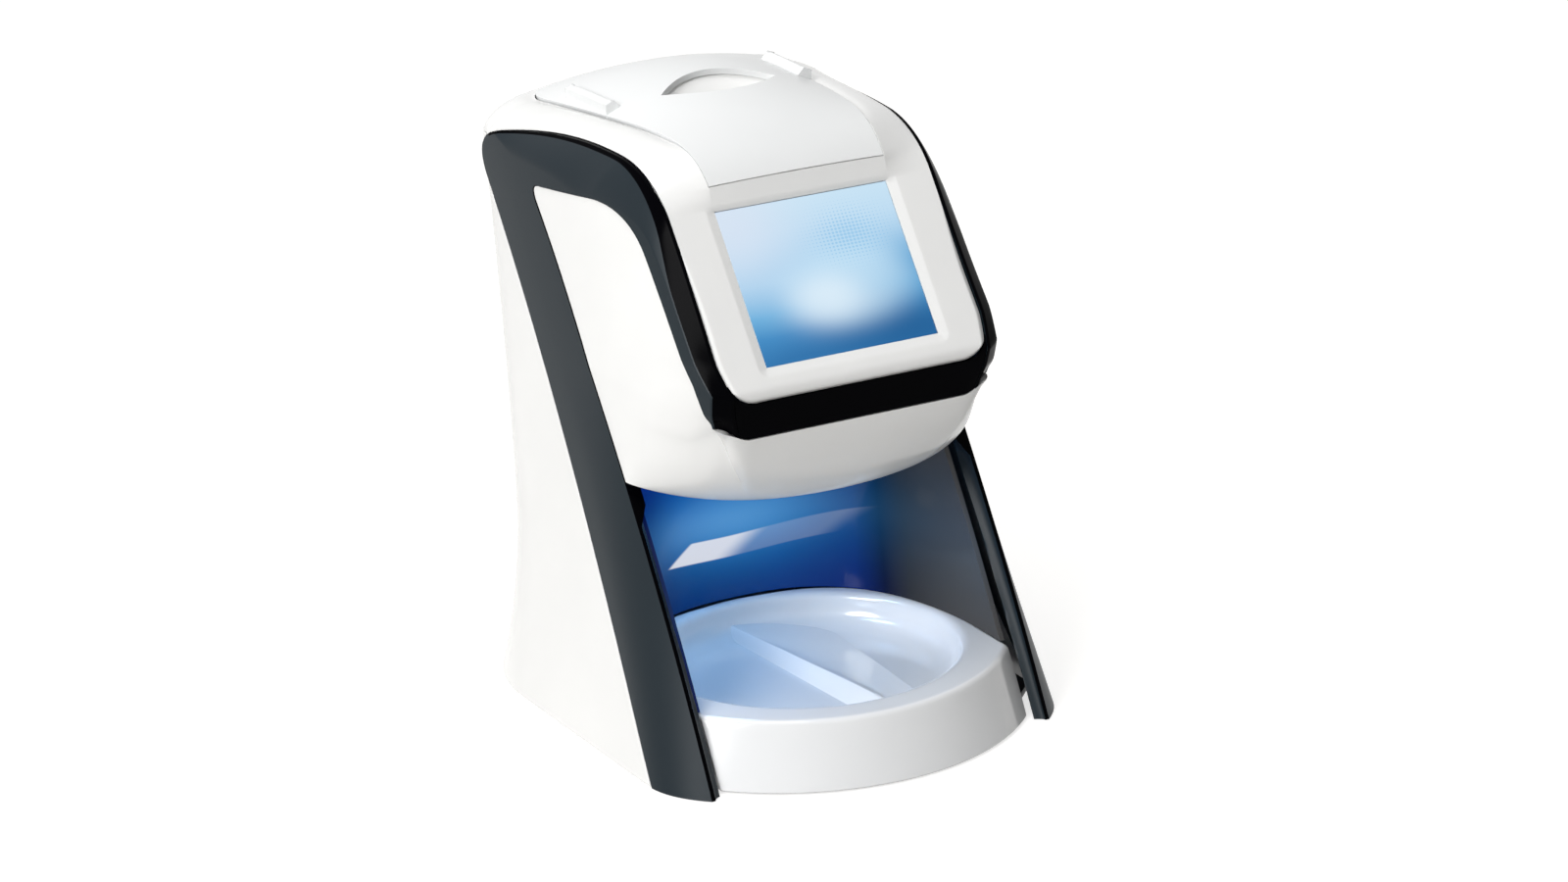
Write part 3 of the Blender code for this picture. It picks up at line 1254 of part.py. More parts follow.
def screw_spots():
    """Places of the base screws, set in from the foot's width."""
    return spots((FOOT_HALF_WIDTH - SCREW_FRONT_SET, SCREW_FRONT_Y),
                 (FOOT_HALF_WIDTH - SCREW_REAR_SET, SCREW_REAR_Y))


def feet_and_screws():
    """Rubber feet under the base plate, and the base screws, whose shanks end flush with the plate's top."""
    front = (FOOT_HALF_WIDTH - FOOT_FRONT_SET, FOOT_FRONT_Y)
    rear = (FOOT_HALF_WIDTH - FOOT_REAR_SET, FOOT_REAR_Y)
    rubber = material("black_rubber", (0.02, 0.02, 0.02), 0.8)
    top = BASE_BOTTOM_Z - GAP
    for index, place in enumerate(spots(front, rear)):
        rod("rubber_foot_%d" % (index + 1), place, FOOT_RADIUS, top - FOOT_HEIGHT, top, "z", rubber, 24)
    for index, place in enumerate(screw_spots()):
        screw = rod("base_screw_%d" % (index + 1), place, SCREW_HEAD_RADIUS, top - SCREW_HEAD_HEIGHT, top,
                    "z", steel(), 16)
        shank_low = top - SCREW_HEAD_HEIGHT / 2
        name = "screw_shank_%d" % (index + 1)
        join(screw, rod(name, place, SCREW_RADIUS, shank_low, top + GAP + BASE_THICKNESS, "z", None, 12))


def chassis():
    """Sheet metal that carries the works: back plate, shelf over the cavity, bracket at the top."""
    base_top = BASE_BOTTOM_Z + BASE_THICKNESS
    back_y = BACK_PLATE_Y + PLATE_THICKNESS
    box("back_plate", (-BACK_PLATE_HALF_WIDTH, BACK_PLATE_Y, base_top + GAP),
        (BACK_PLATE_HALF_WIDTH, back_y, BACK_PLATE_TOP_Z), sheet_metal())
    shelf_top = SHELF_Z + PLATE_THICKNESS
    shelf = box("scanner_shelf", (-SHELF_HALF_WIDTH, SHELF_FRONT_Y, SHELF_Z),
                (SHELF_HALF_WIDTH, BACK_PLATE_Y - GAP, shelf_top), sheet_metal())
    cut(shelf, box("shelf_path_cut", (-EXIT_HALF_WIDTH, EXIT_FRONT_Y, SHELF_Z - OVERRUN),
                   (EXIT_HALF_WIDTH, EXIT_REAR_Y - OVERRUN, shelf_top + OVERRUN)))
    low = BACK_PLATE_TOP_Z + GAP
    bracket = box("motor_bracket", (BRACKET_LEFT_X, BRACKET_FRONT_Y, low),
                  (BRACKET_RIGHT_X, back_y, low + PLATE_THICKNESS), sheet_metal())
    hole = LEAD_SCREW_RADIUS + RUNNING_GAP
    cut(bracket, rod("bracket_hole", (SCREW_X, SCREW_Y), hole, low - OVERRUN, low + 2 * PLATE_THICKNESS, "z"))
    return shelf_top, low


def transport(shelf_top, bracket_low):
    """Guide rods, lead screw with its bearing and motor, and the carriage with its nut."""
    for side, name in ((-1, "guide_rod_left"), (1, "guide_rod_right")):
        rod(name, (side * ROD_X, ROD_Y), ROD_RADIUS, shelf_top + GAP, bracket_low - GAP, "z", steel())
    bearing = rod("screw_foot_bearing", (SCREW_X, SCREW_Y), BEARING_RADIUS, shelf_top + GAP,
                  shelf_top + GAP + BEARING_HEIGHT, "z", material("brass", (0.60, 0.42, 0.16), 0.3, 1.0))
    seat = shelf_top + GAP + BEARING_HEIGHT / 3
    cut(bearing, rod("bearing_bore", (SCREW_X, SCREW_Y), LEAD_SCREW_RADIUS + RUNNING_GAP, seat,
                     seat + BEARING_HEIGHT, "z"))
    motor_low = bracket_low + PLATE_THICKNESS + GAP
    screw = rod("lead_screw", (0, 0), LEAD_SCREW_RADIUS, seat + GAP, motor_low - GAP, "z", steel())
    screw.location = (SCREW_X, SCREW_Y, 0)
    half = MOTOR_SIZE / 2
    motor = box("stepper_motor", (SCREW_X - half, SCREW_Y - half, motor_low),
                (SCREW_X + half, SCREW_Y + half, motor_low + MOTOR_HEIGHT), black_plastic())
    bevel = motor.modifiers.new("edges", "BEVEL")
    bevel.width = OVERRUN
    bevel.segments = 1
    bevel.limit_method = "ANGLE"
    carriage()
    nut_top = SLEEVE_TOP_Z - ARM_THICKNESS - GAP
    nut = rod("lead_nut", (SCREW_X, SCREW_Y), NUT_RADIUS, nut_top - NUT_HEIGHT, nut_top, "z",
              material("brass", (0.60, 0.42, 0.16), 0.3, 1.0), 6)
    bore = LEAD_SCREW_RADIUS + RUNNING_GAP
    cut(nut, rod("nut_bore", (SCREW_X, SCREW_Y), bore, nut_top - 2 * NUT_HEIGHT, nut_top + OVERRUN, "z"))


def carriage():
    """Plate carriage: a thin pocket that runs on both rods and is driven by the nut."""
    front, back = PATH_Y - CARRIAGE_THICKNESS / 2, PATH_Y + CARRIAGE_THICKNESS / 2
    made = box("plate_carriage", (-CARRIAGE_HALF_WIDTH, front, CARRIAGE_BOTTOM_Z),
               (CARRIAGE_HALF_WIDTH, back, CARRIAGE_TOP_Z), black_plastic())
    arm_low = SLEEVE_TOP_Z - ARM_THICKNESS
    for side, name in ((-1, "left"), (1, "right")):
        inner, outer = CARRIAGE_HALF_WIDTH - OVERRUN, ROD_X + SLEEVE_RADIUS
        join(made, box("carriage_cheek_" + name, (min(side * inner, side * outer), front, SLEEVE_BOTTOM_Z),
                       (max(side * inner, side * outer), ROD_Y, SLEEVE_TOP_Z)))
        join(made, rod("carriage_sleeve_" + name, (side * ROD_X, ROD_Y), SLEEVE_RADIUS, SLEEVE_BOTTOM_Z,
                       SLEEVE_TOP_Z, "z"))
    join(made, box("carriage_arm", (ROD_X, ROD_Y - OVERRUN, arm_low),
                   (SCREW_X + NUT_RADIUS, SCREW_Y + NUT_RADIUS, SLEEVE_TOP_Z)))
    pocket = POCKET_THICKNESS / 2
    cut(made, box("pocket_cut", (-POCKET_HALF_WIDTH, PATH_Y - pocket, CARRIAGE_BOTTOM_Z - OVERRUN),
                  (POCKET_HALF_WIDTH, PATH_Y + pocket, CARRIAGE_TOP_Z + OVERRUN)))
    bore = ROD_RADIUS + RUNNING_GAP
    for side, name in ((-1, "left"), (1, "right")):
        cut(made, rod("sleeve_bore_" + name, (side * ROD_X, ROD_Y), bore, SLEEVE_BOTTOM_Z - OVERRUN,
                      SLEEVE_TOP_Z + OVERRUN, "z"))
    cut(made, rod("arm_bore", (SCREW_X, SCREW_Y), LEAD_SCREW_RADIUS + RUNNING_GAP, SLEEVE_BOTTOM_Z,
                  SLEEVE_TOP_Z + OVERRUN, "z"))
    return made


def loading_slot_guide(bracket_low):
    """White funnel under the eye: its dish leads a plate into a slanting slot that ends over the carriage."""
    low = bracket_low + PLATE_THICKNESS + GAP
    half = EYE_HALF_LENGTH + GUIDE_WALL
    front, rear = EYE_Y - EYE_HALF_WIDTH - GUIDE_WALL, EYE_Y + EYE_HALF_WIDTH + GUIDE_WALL
    top = crest_top_z()
    neck = low + (top - low) / 2
    outline = [(PATH_Y - 2 * GUIDE_WALL, low), (EYE_Y, low), (rear, neck), (rear, top), (front, top),
               (front, neck)]
    guide = prism("loading_slot_guide", outline, -half, half, "x", white_gloss())
    cut(guide, lid_solid("roof_relief", OVERRUN * 4, SHELL_WALL + GAP, 0.0, None))
    floor = float(lid_height(0, EYE_Y)) - SHELL_WALL - GUIDE_FLOOR_DEPTH
    cut(guide, prism("guide_dish_cut", eye_outline(0.0), floor, top + OVERRUN, "z"))
    slot = SLOT_WIDTH / 2
    slope = (EYE_Y - PATH_Y) / (floor - low)
    below, above = low - OVERRUN, floor + OVERRUN
    path = [(PATH_Y - slope * OVERRUN, below), (EYE_Y + slope * OVERRUN, above)]
    slant = [(path[0][0] - slot, below), (path[0][0] + slot, below), (path[1][0] + slot, above),
             (path[1][0] - slot, above)]
    return cut(guide, prism("guide_slot_cut", slant, -SLOT_HALF_WIDTH, SLOT_HALF_WIDTH, "x"))


def optics(shelf_top):
    """Laser, polygon mirror and its motor, scan lens, light guide, photomultiplier and erase lamp."""
    floor = shelf_top + GAP
    motor_top = floor + MIRROR_MOTOR_HEIGHT
    rod("mirror_motor", (0, MIRROR_Y), MIRROR_MOTOR_RADIUS, floor, motor_top, "z", black_plastic(), 28)
    mirror_low = motor_top + GAP
    turn = math.pi / MIRROR_SIDES
    bright = material("mirror_aluminium", (0.88, 0.89, 0.90), 0.05, 1.0)
    mirror = prism("scan_mirror", circle((0, 0), MIRROR_RADIUS, MIRROR_SIDES, turn), mirror_low,
                   mirror_low + MIRROR_HEIGHT, "z", bright)
    mirror.location = (0, MIRROR_Y, 0)
    beam_z = mirror_low + MIRROR_HEIGHT / 2
    front, back = LENS_Y - LENS_THICKNESS / 2, LENS_Y + LENS_THICKNESS / 2
    clear = material("lens_glass", (0.75, 0.82, 0.85), 0.03)
    lens = box("scan_lens", (-LENS_HALF_WIDTH, front, beam_z - LENS_HEIGHT / 2),
               (LENS_HALF_WIDTH, back, beam_z + LENS_HEIGHT / 2), clear)
    join(lens, box("lens_pedestal", (-LENS_THICKNESS, front + GAP, floor),
                   (LENS_THICKNESS, back - GAP, beam_z)))
    width, depth, height = LASER_SIZE
    near, far = MIRROR_Y - depth / 2, MIRROR_Y + depth / 2
    laser = box("laser_module", (LASER_X - width / 2, near, floor), (LASER_X + width / 2, far, floor + height),
                black_plastic())
    muzzle = LASER_X + width / 2
    join(laser, rod("laser_barrel", (MIRROR_Y, beam_z), BARREL_RADIUS, muzzle - OVERRUN,
                    muzzle + BARREL_LENGTH, "x"))
    tube_z = mirror_low + MIRROR_HEIGHT + TUBE_CLEARANCE + TUBE_RADIUS
    rod("photomultiplier", (0, tube_z), TUBE_RADIUS, TUBE_FRONT_Y, BACK_PLATE_Y - GAP, "y", black_plastic(), 24)
    half = GUIDE_HEIGHT / 2
    outline = [(-GUIDE_HALF_WIDTH, GUIDE_FRONT_Y), (GUIDE_HALF_WIDTH, GUIDE_FRONT_Y),
               (TUBE_RADIUS / 2, TUBE_FRONT_Y - GAP), (-TUBE_RADIUS / 2, TUBE_FRONT_Y - GAP)]
    prism("light_guide", outline, tube_z - half, tube_z + half, "z",
          material("acrylic", (0.80, 0.88, 0.92), 0.05))
    box("erase_lamp", (-ERASE_HALF_WIDTH, ERASE_Y - ERASE_DEPTH / 2, floor),
        (ERASE_HALF_WIDTH, ERASE_Y + ERASE_DEPTH / 2, floor + ERASE_HEIGHT),
        material("lamp_white", (0.9, 0.9, 0.85), 0.3))


def main_board():
    """Main board on four standoffs behind the back plate."""
    back_y = BACK_PLATE_Y + PLATE_THICKNESS
    board = box("main_board", (-BOARD_HALF_WIDTH, BOARD_Y, BOARD_LOW_Z),
                (BOARD_HALF_WIDTH, BOARD_Y + BOARD_THICKNESS, BOARD_TOP_Z), board_green())
    inset = 2 * STANDOFF_RADIUS
    for side, name in ((-1, "left"), (1, "right")):
        for level, z in (("low", BOARD_LOW_Z + inset), ("top", BOARD_TOP_Z - inset)):
            place = (side * (BOARD_HALF_WIDTH - inset), z)
            join(board, rod("standoff_%s_%s" % (name, level), place, STANDOFF_RADIUS, back_y + GAP,
                            BOARD_Y + BOARD_THICKNESS / 2, "y", None, 12))
    chip_back = BOARD_Y + BOARD_THICKNESS + CHIP_HEIGHT
    for k, share in enumerate(CHIP_SHARES):
        centre = share[0] * BOARD_HALF_WIDTH
        middle = BOARD_LOW_Z + share[1] * (BOARD_TOP_Z - BOARD_LOW_Z)
        size = share[2] * BOARD_HALF_WIDTH
        join(board, box("chip_%d" % (k + 1), (centre - size, BOARD_Y + BOARD_THICKNESS / 2, middle - size),
                        (centre + size, chip_back, middle + size)))
    return board


CHIP_SHARES = ((-0.45, 0.6, 0.17), (0.15, 0.35, 0.12), (0.55, 0.68, 0.14))


def panel_edge_y(z):
    """Where the connector panel's wall ends, just inside the shell's outer surface."""
    return float(rear_y(z)) - PANEL_SET_BACK


def rear_connector_panel():
    """Recessed panel in the rear shell's window, with holes for the three connectors."""
    low, high = PANEL_LOW_Z, PANEL_TOP_Z
    outline = [(PANEL_FACE_Y, low), (panel_edge_y(low), low), (panel_edge_y(high), high),
               (PANEL_FACE_Y, high)]
    panel = prism("rear_connector_panel", outline, -PANEL_HALF_WIDTH, PANEL_HALF_WIDTH, "x", black_plastic())
    wall, far = PANEL_WALL, PANEL_FACE_Y + SKIRT_RADIUS
    cut(panel, box("panel_recess_cut", (-PANEL_HALF_WIDTH + wall, PANEL_FACE_Y + wall, low + wall),
                   (PANEL_HALF_WIDTH - wall, far, high - wall)))
    sockets = (("network", NETWORK_X, NETWORK_SIZE), ("inlet", INLET_X, INLET_SIZE),
               ("switch", SWITCH_X, SWITCH_SIZE))
    for name, x, (width, _, height) in sockets:
        half, tall = width / 2 + GAP, height / 2 + GAP
        cut(panel, box("panel_hole_" + name, (x - half, PANEL_FACE_Y - OVERRUN, SOCKET_Z - tall),
                       (x + half, PANEL_FACE_Y + wall + OVERRUN, SOCKET_Z + tall)))
    return panel


def socket_body(name, x, size, finish):
    """Body of a connector: it stands a little proud of the panel's face and reaches in behind it."""
    width, depth, height = size
    rear = PANEL_FACE_Y + PANEL_WALL + SOCKET_PROUD
    return box(name, (x - width / 2, rear - depth, SOCKET_Z - height / 2),
               (x + width / 2, rear, SOCKET_Z + height / 2), finish), rear


def connectors():
    """Network socket, round power inlet, and the power switch with its rocker."""
    socket, rear = socket_body("network_socket", NETWORK_X, NETWORK_SIZE, sheet_metal())
    wide, tall = NETWORK_MOUTH[0] / 2, NETWORK_MOUTH[1] / 2
    cut(socket, box("network_mouth", (NETWORK_X - wide, rear - NETWORK_DEPTH, SOCKET_Z - tall),
                    (NETWORK_X + wide, rear + OVERRUN, SOCKET_Z + tall)))
    inlet, rear = socket_body("power_inlet", INLET_X, INLET_SIZE, black_plastic())
    cut(inlet, rod("inlet_bore", (INLET_X, SOCKET_Z), INLET_BORE, rear - INLET_DEPTH, rear + OVERRUN, "y"))
    body, rear = socket_body("power_switch_body", SWITCH_X, SWITCH_SIZE, black_plastic())
    width, depth, height = SWITCH_SIZE
    wide, tall = width / 2 - SWITCH_WALL, height / 2 - SWITCH_WALL
    floor = rear - depth + SWITCH_WALL
    cut(body, box("switch_mouth", (SWITCH_X - wide, floor, SOCKET_Z - tall),
                  (SWITCH_X + wide, rear + OVERRUN, SOCKET_Z + tall)))
    reach, half = tall - ROCKER_CLEARANCE, wide - GAP
    bow = reach * math.sin(ROCKER_TILT)
    outline = [(-ROCKER_DEPTH, -reach / 2), (0, -reach), (bow / 2, -reach), (0, 0), (bow / 2, reach), (0, reach),
               (-ROCKER_DEPTH, reach / 2)]
    rocker = prism("power_rocker", outline, -half, half, "x", black_plastic())
    rocker.location = (SWITCH_X, rear, SOCKET_Z)
    rocker.rotation_euler = (-ROCKER_TILT, 0, 0)
    return rocker


for old in list(bpy.data.objects):
    bpy.data.objects.remove(old)

base_plate()
feet_and_screws()
rear_shell()
side_frame("side_frame_left", -1)
side_frame("side_frame_right", 1)
front_strip()
lower_head_shell()
front_hood()
top_cover()
screen_parts()
cavity_liner()
cavity_ceiling()
cavity_lamp_lens()
exit_flap()
receptacle_tray()
shelf_level, bracket_level = chassis()
transport(shelf_level, bracket_level)
loading_slot_guide(bracket_level)
optics(shelf_level)
main_board()
rear_connector_panel()
connectors()
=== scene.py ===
"""Looks of the phosphor plate scanner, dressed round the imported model.

Metres, +Z up, the screen looks towards -Y. The sections follow the scanner as it is put together: the studio,
the body from the outside in, the lid, the screen, the cavity, its tray, and the parts that stay as they are.
"""

import math

import bpy
import numpy as np
from mathutils import Matrix


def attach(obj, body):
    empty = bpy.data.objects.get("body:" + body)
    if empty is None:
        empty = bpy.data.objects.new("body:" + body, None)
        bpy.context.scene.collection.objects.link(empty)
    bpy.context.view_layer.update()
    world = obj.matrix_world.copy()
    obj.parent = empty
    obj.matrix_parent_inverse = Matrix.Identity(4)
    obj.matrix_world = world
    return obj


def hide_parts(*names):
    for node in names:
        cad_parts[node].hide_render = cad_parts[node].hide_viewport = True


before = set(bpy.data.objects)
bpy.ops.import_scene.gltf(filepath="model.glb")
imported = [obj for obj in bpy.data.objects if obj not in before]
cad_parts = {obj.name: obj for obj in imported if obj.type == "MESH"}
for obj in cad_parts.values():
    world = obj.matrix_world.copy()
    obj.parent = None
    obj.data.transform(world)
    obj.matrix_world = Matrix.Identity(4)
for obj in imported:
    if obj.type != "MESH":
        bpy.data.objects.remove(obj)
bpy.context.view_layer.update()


# Camera. A long lens looks down on the scanner's left front corner, as in the photograph.

LOOK_AT = np.array([-0.0103, -0.0295, 0.1167])
CAMERA_AZIMUTH = math.radians(-30.9)
CAMERA_ELEVATION = math.radians(20.65)
CAMERA_DISTANCE = 2.1387
FOCAL_MM = 125.55

towards_camera = np.array([math.sin(CAMERA_AZIMUTH) * math.cos(CAMERA_ELEVATION),
                           -math.cos(CAMERA_AZIMUTH) * math.cos(CAMERA_ELEVATION),
                           math.sin(CAMERA_ELEVATION)])
camera_right = np.array([math.cos(CAMERA_AZIMUTH), math.sin(CAMERA_AZIMUTH), 0])
camera_up = np.cross(towards_camera, camera_right)


def placed(across, above, back, place):
    """World matrix of a camera or lamp that looks away from its back: its axes as columns, then its place."""
    return Matrix([[across[k], above[k], back[k], place[k]] for k in range(3)] + [[0, 0, 0, 1]])


camera = bpy.data.objects.new("camera", bpy.data.cameras.new("camera"))
bpy.context.scene.collection.objects.link(camera)
camera.matrix_world = placed(camera_right, camera_up, towards_camera,
                             LOOK_AT + towards_camera * CAMERA_DISTANCE)
camera.data.sensor_width = 36
camera.data.lens = FOCAL_MM
bpy.context.scene.camera = camera
bpy.context.scene.view_settings.view_transform = "Standard"


# Studio. A white sweep and three soft boxes: a large one at the left front, a weaker one at the right,
# and one overhead. The room is darker at the right front. The camera and gloss see the sweep as white.

FLOOR_REACH = 6.0
DARK_SIDE = (0.80, -0.60, 0.0)
ROOM_LIGHT_FAR = 0.52
ROOM_LIGHT_DARK = 0.06
SOFT_BOXES = (("key", (-1.75, -0.95, 1.20), 1.0, 37.5), ("fill", (1.6, -1.5, 0.6), 1.2, 0.4),
              ("top", (-0.3, 0.1, 2.0), 1.2, 15.8))
PAPER_COLOUR = (0.50, 0.49, 0.47)
PAPER_GLOW = 0.72


def add(tree, kind, sockets=None, **fields):
    """A shader node with its fields set, and each named socket given its value or linked from an output."""
    made = tree.nodes.new(kind)
    for field, value in fields.items():
        setattr(made, field, value)
    for socket, value in (sockets or {}).items():
        if isinstance(value, bpy.types.NodeSocket):
            tree.links.new(value, made.inputs[socket])
        else:
            made.inputs[socket].default_value = value
    return made


def number(tree, operation, *values):
    """One step of arithmetic on the shader's numbers."""
    return add(tree, "ShaderNodeMath", dict(enumerate(values)), operation=operation).outputs[0]


def new_material(name, sockets):
    """A material, its node tree and its Principled shader, whose own sockets take the given values."""
    made = bpy.data.materials.new(name)
    made.use_nodes = True
    surface = made.node_tree.nodes["Principled BSDF"]
    for socket, value in sockets.items():
        surface.inputs[socket].default_value = value
    return made, made.node_tree, surface


def seen_directly(tree):
    """A number that is one for rays from the camera, from gloss and through glass, and zero for the rest."""
    path = add(tree, "ShaderNodeLightPath").outputs
    first = number(tree, "MAXIMUM", path["Is Camera Ray"], path["Is Glossy Ray"])
    return number(tree, "MAXIMUM", first, path["Is Transmission Ray"])


world = bpy.data.worlds.new("studio")
bpy.context.scene.world = world
world.use_nodes = True
sky = world.node_tree
direction = add(sky, "ShaderNodeTexCoord").outputs["Generated"]
towards_dark = add(sky, "ShaderNodeVectorMath", {0: direction, 1: DARK_SIDE}, operation="DOT_PRODUCT")
room = add(sky, "ShaderNodeMapRange", {"Value": towards_dark.outputs["Value"], "From Min": -1.0,
                                       "To Min": ROOM_LIGHT_FAR, "To Max": ROOM_LIGHT_DARK})
strength = add(sky, "ShaderNodeMapRange", {"Value": seen_directly(sky), "To Min": room.outputs["Result"],
                                           "To Max": 1.0})
sky.nodes["Background"].inputs["Color"].default_value = (1, 1, 1, 1)
sky.links.new(strength.outputs["Result"], sky.nodes["Background"].inputs["Strength"])

for name, place, size, power in SOFT_BOXES:
    lamp = bpy.data.lights.new(name, "AREA")
    lamp.shape = "DISK"
    lamp.size = size
    lamp.energy = power
    box_lamp = bpy.data.objects.new(name, lamp)
    bpy.context.scene.collection.objects.link(box_lamp)
    away = np.array(place) - LOOK_AT
    away /= np.linalg.norm(away)
    side = np.cross([0, 0, 1], away)
    side /= np.linalg.norm(side)
    box_lamp.matrix_world = placed(side, np.cross(away, side), away, place)

floor_mesh = bpy.data.meshes.new("floor")
floor_mesh.from_pydata([(-FLOOR_REACH, -FLOOR_REACH, 0), (FLOOR_REACH, -FLOOR_REACH, 0),
                        (FLOOR_REACH, FLOOR_REACH, 0), (-FLOOR_REACH, FLOOR_REACH, 0)], [], [(0, 1, 2, 3)])
floor = bpy.data.objects.new("floor", floor_mesh)
bpy.context.scene.collection.objects.link(floor)
paper, paper_tree, paper_surface = new_material("studio_paper", {
    "Base Color": (*PAPER_COLOUR, 1), "Roughness": 1.0, "Specular IOR Level": 0.0,
    "Emission Color": (1, 1, 1, 1)})
lift = add(paper_tree, "ShaderNodeMapRange", {"Value": seen_directly(paper_tree), "To Max": PAPER_GLOW})
paper_tree.links.new(lift.outputs["Result"], paper_surface.inputs["Emission Strength"])
floor_mesh.materials.append(paper)


# Rear shell. Injection-moulded gloss white plastic, 2.5 mm thick: the sides behind the slanting legs and the
# back, flared at the foot. It hooks under the hood and is screwed to the base plate from below.

GAP = 0.0003
SHELL_WALL = 0.0025
FOOT_HALF_WIDTH = 0.092
HEAD_HALF_WIDTH = 0.076
FLARE_HEIGHT = 0.200
FLARE_EXPONENT = 1.7
LEG_EDGE_HALF_WIDTH = 0.0776
LEG_EDGE_RUN = 0.030
LEG_EDGE_EXPONENT = 2.4
HEAD_TAPER = 0.011
HEAD_TAPER_RUN = 0.110
FACE_ANGLE = math.radians(37.3)
FACE_LOW_Y = -0.071
FACE_LOW_Z = 0.1555
STRIP_LOW_Y = -0.0680
STRIP_LOW_Z = 0.137
ELBOW_DROP = 0.0105
ELBOW_TOP_Z = 0.168
ELBOW_RUN = 0.036
ELBOW_EXPONENT = 1.3
LEG_REAR_FOOT_Y = -0.0656
LEG_REAR_SLOPE = 0.7714
LEG_FRONT_FOOT_Y = -0.0884
LEG_TOP_Y = 0.057
LEG_TOP_Z = 0.210
LEG_BOW = 0.0084
REAR_WAIST_Y = 0.0898
REAR_WAIST_Z = 0.070
REAR_FOOT_FLARE = 0.0152
REAR_TOP_LEAN = 0.0192
REAR_TOP_Z = 0.215
REAR_LEAN_EXPONENT = 1.2
REAR_CORNER_TOP = 0.022
REAR_CORNER_FOOT = 0.066
REAR_CORNER_EXPONENT = 1.6
REAR_SEAM_Z = 0.2205
RAIL_CREST_Y = 0.018
RAIL_CREST_Z = 0.2313
RAIL_REAR_DROP = 0.0078
RAIL_REAR_RUN = 0.065
FRAME_BOTTOM_Z = 0.0005
REAR_CORNER_REACH = 0.020
FRONT_CORNER_REACH = 0.022
FINENESS = 6
CORNER_STEPS = 48
SHELL_STEPS = 56
SHELL_LEVELS = 72
COAT_ROUGHNESS = 0.06
DRIFT_SCALE = 28.0
MARK_DEPTH = 0.0002


def roughen(tree, surface, marks, roughness, spread, strength):
    """Marks in a surface: they vary its roughness by a share each way, and press into it as bump."""
    gloss = add(tree, "ShaderNodeMapRange", {"Value": marks, "To Min": roughness * (1 - spread),
                                             "To Max": roughness * (1 + spread)})
    bump = add(tree, "ShaderNodeBump", {"Height": marks, "Strength": strength, "Distance": MARK_DEPTH})
    tree.links.new(gloss.outputs["Result"], surface.inputs["Roughness"])
    tree.links.new(bump.outputs["Normal"], surface.inputs["Normal"])


def plastic(name, colour, roughness, specular=0.5, coat=0.0, grain=0.02, grain_scale=1600.0, mottle=0.012):
    """Moulded plastic: the colour drifts by a very soft noise, and a fine moulded grain gives bump and
    varies the gloss. Patterns run on Object coordinates, so they keep their size in metres."""
    made, tree, surface = new_material(name, {
        "Specular IOR Level": specular, "Coat Weight": coat, "Coat Roughness": COAT_ROUGHNESS})
    where = add(tree, "ShaderNodeTexCoord").outputs["Object"]
    drift = add(tree, "ShaderNodeTexNoise", {"Vector": where, "Scale": DRIFT_SCALE, "Detail": 2.0})
    tint = add(tree, "ShaderNodeMapRange", {"Value": drift.outputs["Fac"], "From Min": 0.3, "From Max": 0.7})
    mottle = max(mottle, 0.01)
    mix = add(tree, "ShaderNodeMix", {
        "Factor": tint.outputs["Result"], "A": (*(c * (1 - mottle) for c in colour), 1),
        "B": (*(min(c * (1 + mottle), 1) for c in colour), 1)}, data_type="RGBA")
    fine = add(tree, "ShaderNodeTexNoise", {"Vector": where, "Scale": grain_scale, "Detail": 1.0})
    tree.links.new(mix.outputs["Result"], surface.inputs["Base Color"])
    roughen(tree, surface, fine.outputs["Fac"], roughness, 0.08, grain)
    return made


def face_y(z):
    """The sloping face in side view: a straight line that leans back."""
    return FACE_LOW_Y + (z - FACE_LOW_Z) * math.tan(FACE_ANGLE)


def leg_front_y(z):
    """Front edge of the leg: the chord from foot to top, less a parabola that bows it forwards."""
    share = z / LEG_TOP_Z
    return LEG_FRONT_FOOT_Y + (LEG_TOP_Y - LEG_FRONT_FOOT_Y) * share - 4 * LEG_BOW * share * (1 - share)


def leg_rear_y(z):
    """Rear edge of the leg: a straight slant."""
    return LEG_REAR_FOOT_Y + LEG_REAR_SLOPE * z


def rail_z(y):
    """Upper edge of the side frame over the head: a flat parabola."""
    return RAIL_CREST_Z - RAIL_REAR_DROP * ((y - RAIL_CREST_Y) / RAIL_REAR_RUN) ** 2


def half_width(y, z):
    """Half-width of the body: the head's width plus a power-law flare towards the foot, less a square-law
    taper towards the face, less the rounded front edge of the leg, less the elbow's rounded corner."""
    y, z = np.asarray(y, float), np.asarray(z, float)
    flare = np.clip(1 - z / FLARE_HEIGHT, 0, None) ** FLARE_EXPONENT
    base = HEAD_HALF_WIDTH + (FOOT_HALF_WIDTH - HEAD_HALF_WIDTH) * flare
    ahead = np.clip(1 - (y - face_y(z)) / HEAD_TAPER_RUN, 0, 1)
    fall = STRIP_LOW_Y - (z - STRIP_LOW_Z) * (STRIP_LOW_Y - FACE_LOW_Y) / (FACE_LOW_Z - STRIP_LOW_Z)
    corner = np.clip(1 - (y - np.maximum(face_y(z), fall)) / ELBOW_RUN, 0, 1) ** ELBOW_EXPONENT
    low = np.clip((ELBOW_TOP_Z - z) / (ELBOW_TOP_Z - STRIP_LOW_Z), 0, 1) ** ELBOW_EXPONENT
    on_head = np.where(z < STRIP_LOW_Z - 0.002, 0, 1)
    edge = 1 - np.clip((y - leg_front_y(z)) / LEG_EDGE_RUN, 0, 1)
    edge_drop = np.clip(base - LEG_EDGE_HALF_WIDTH, 0, None) * edge ** LEG_EDGE_EXPONENT
    return base - HEAD_TAPER * ahead ** 2 - edge_drop - on_head * ELBOW_DROP * low * corner


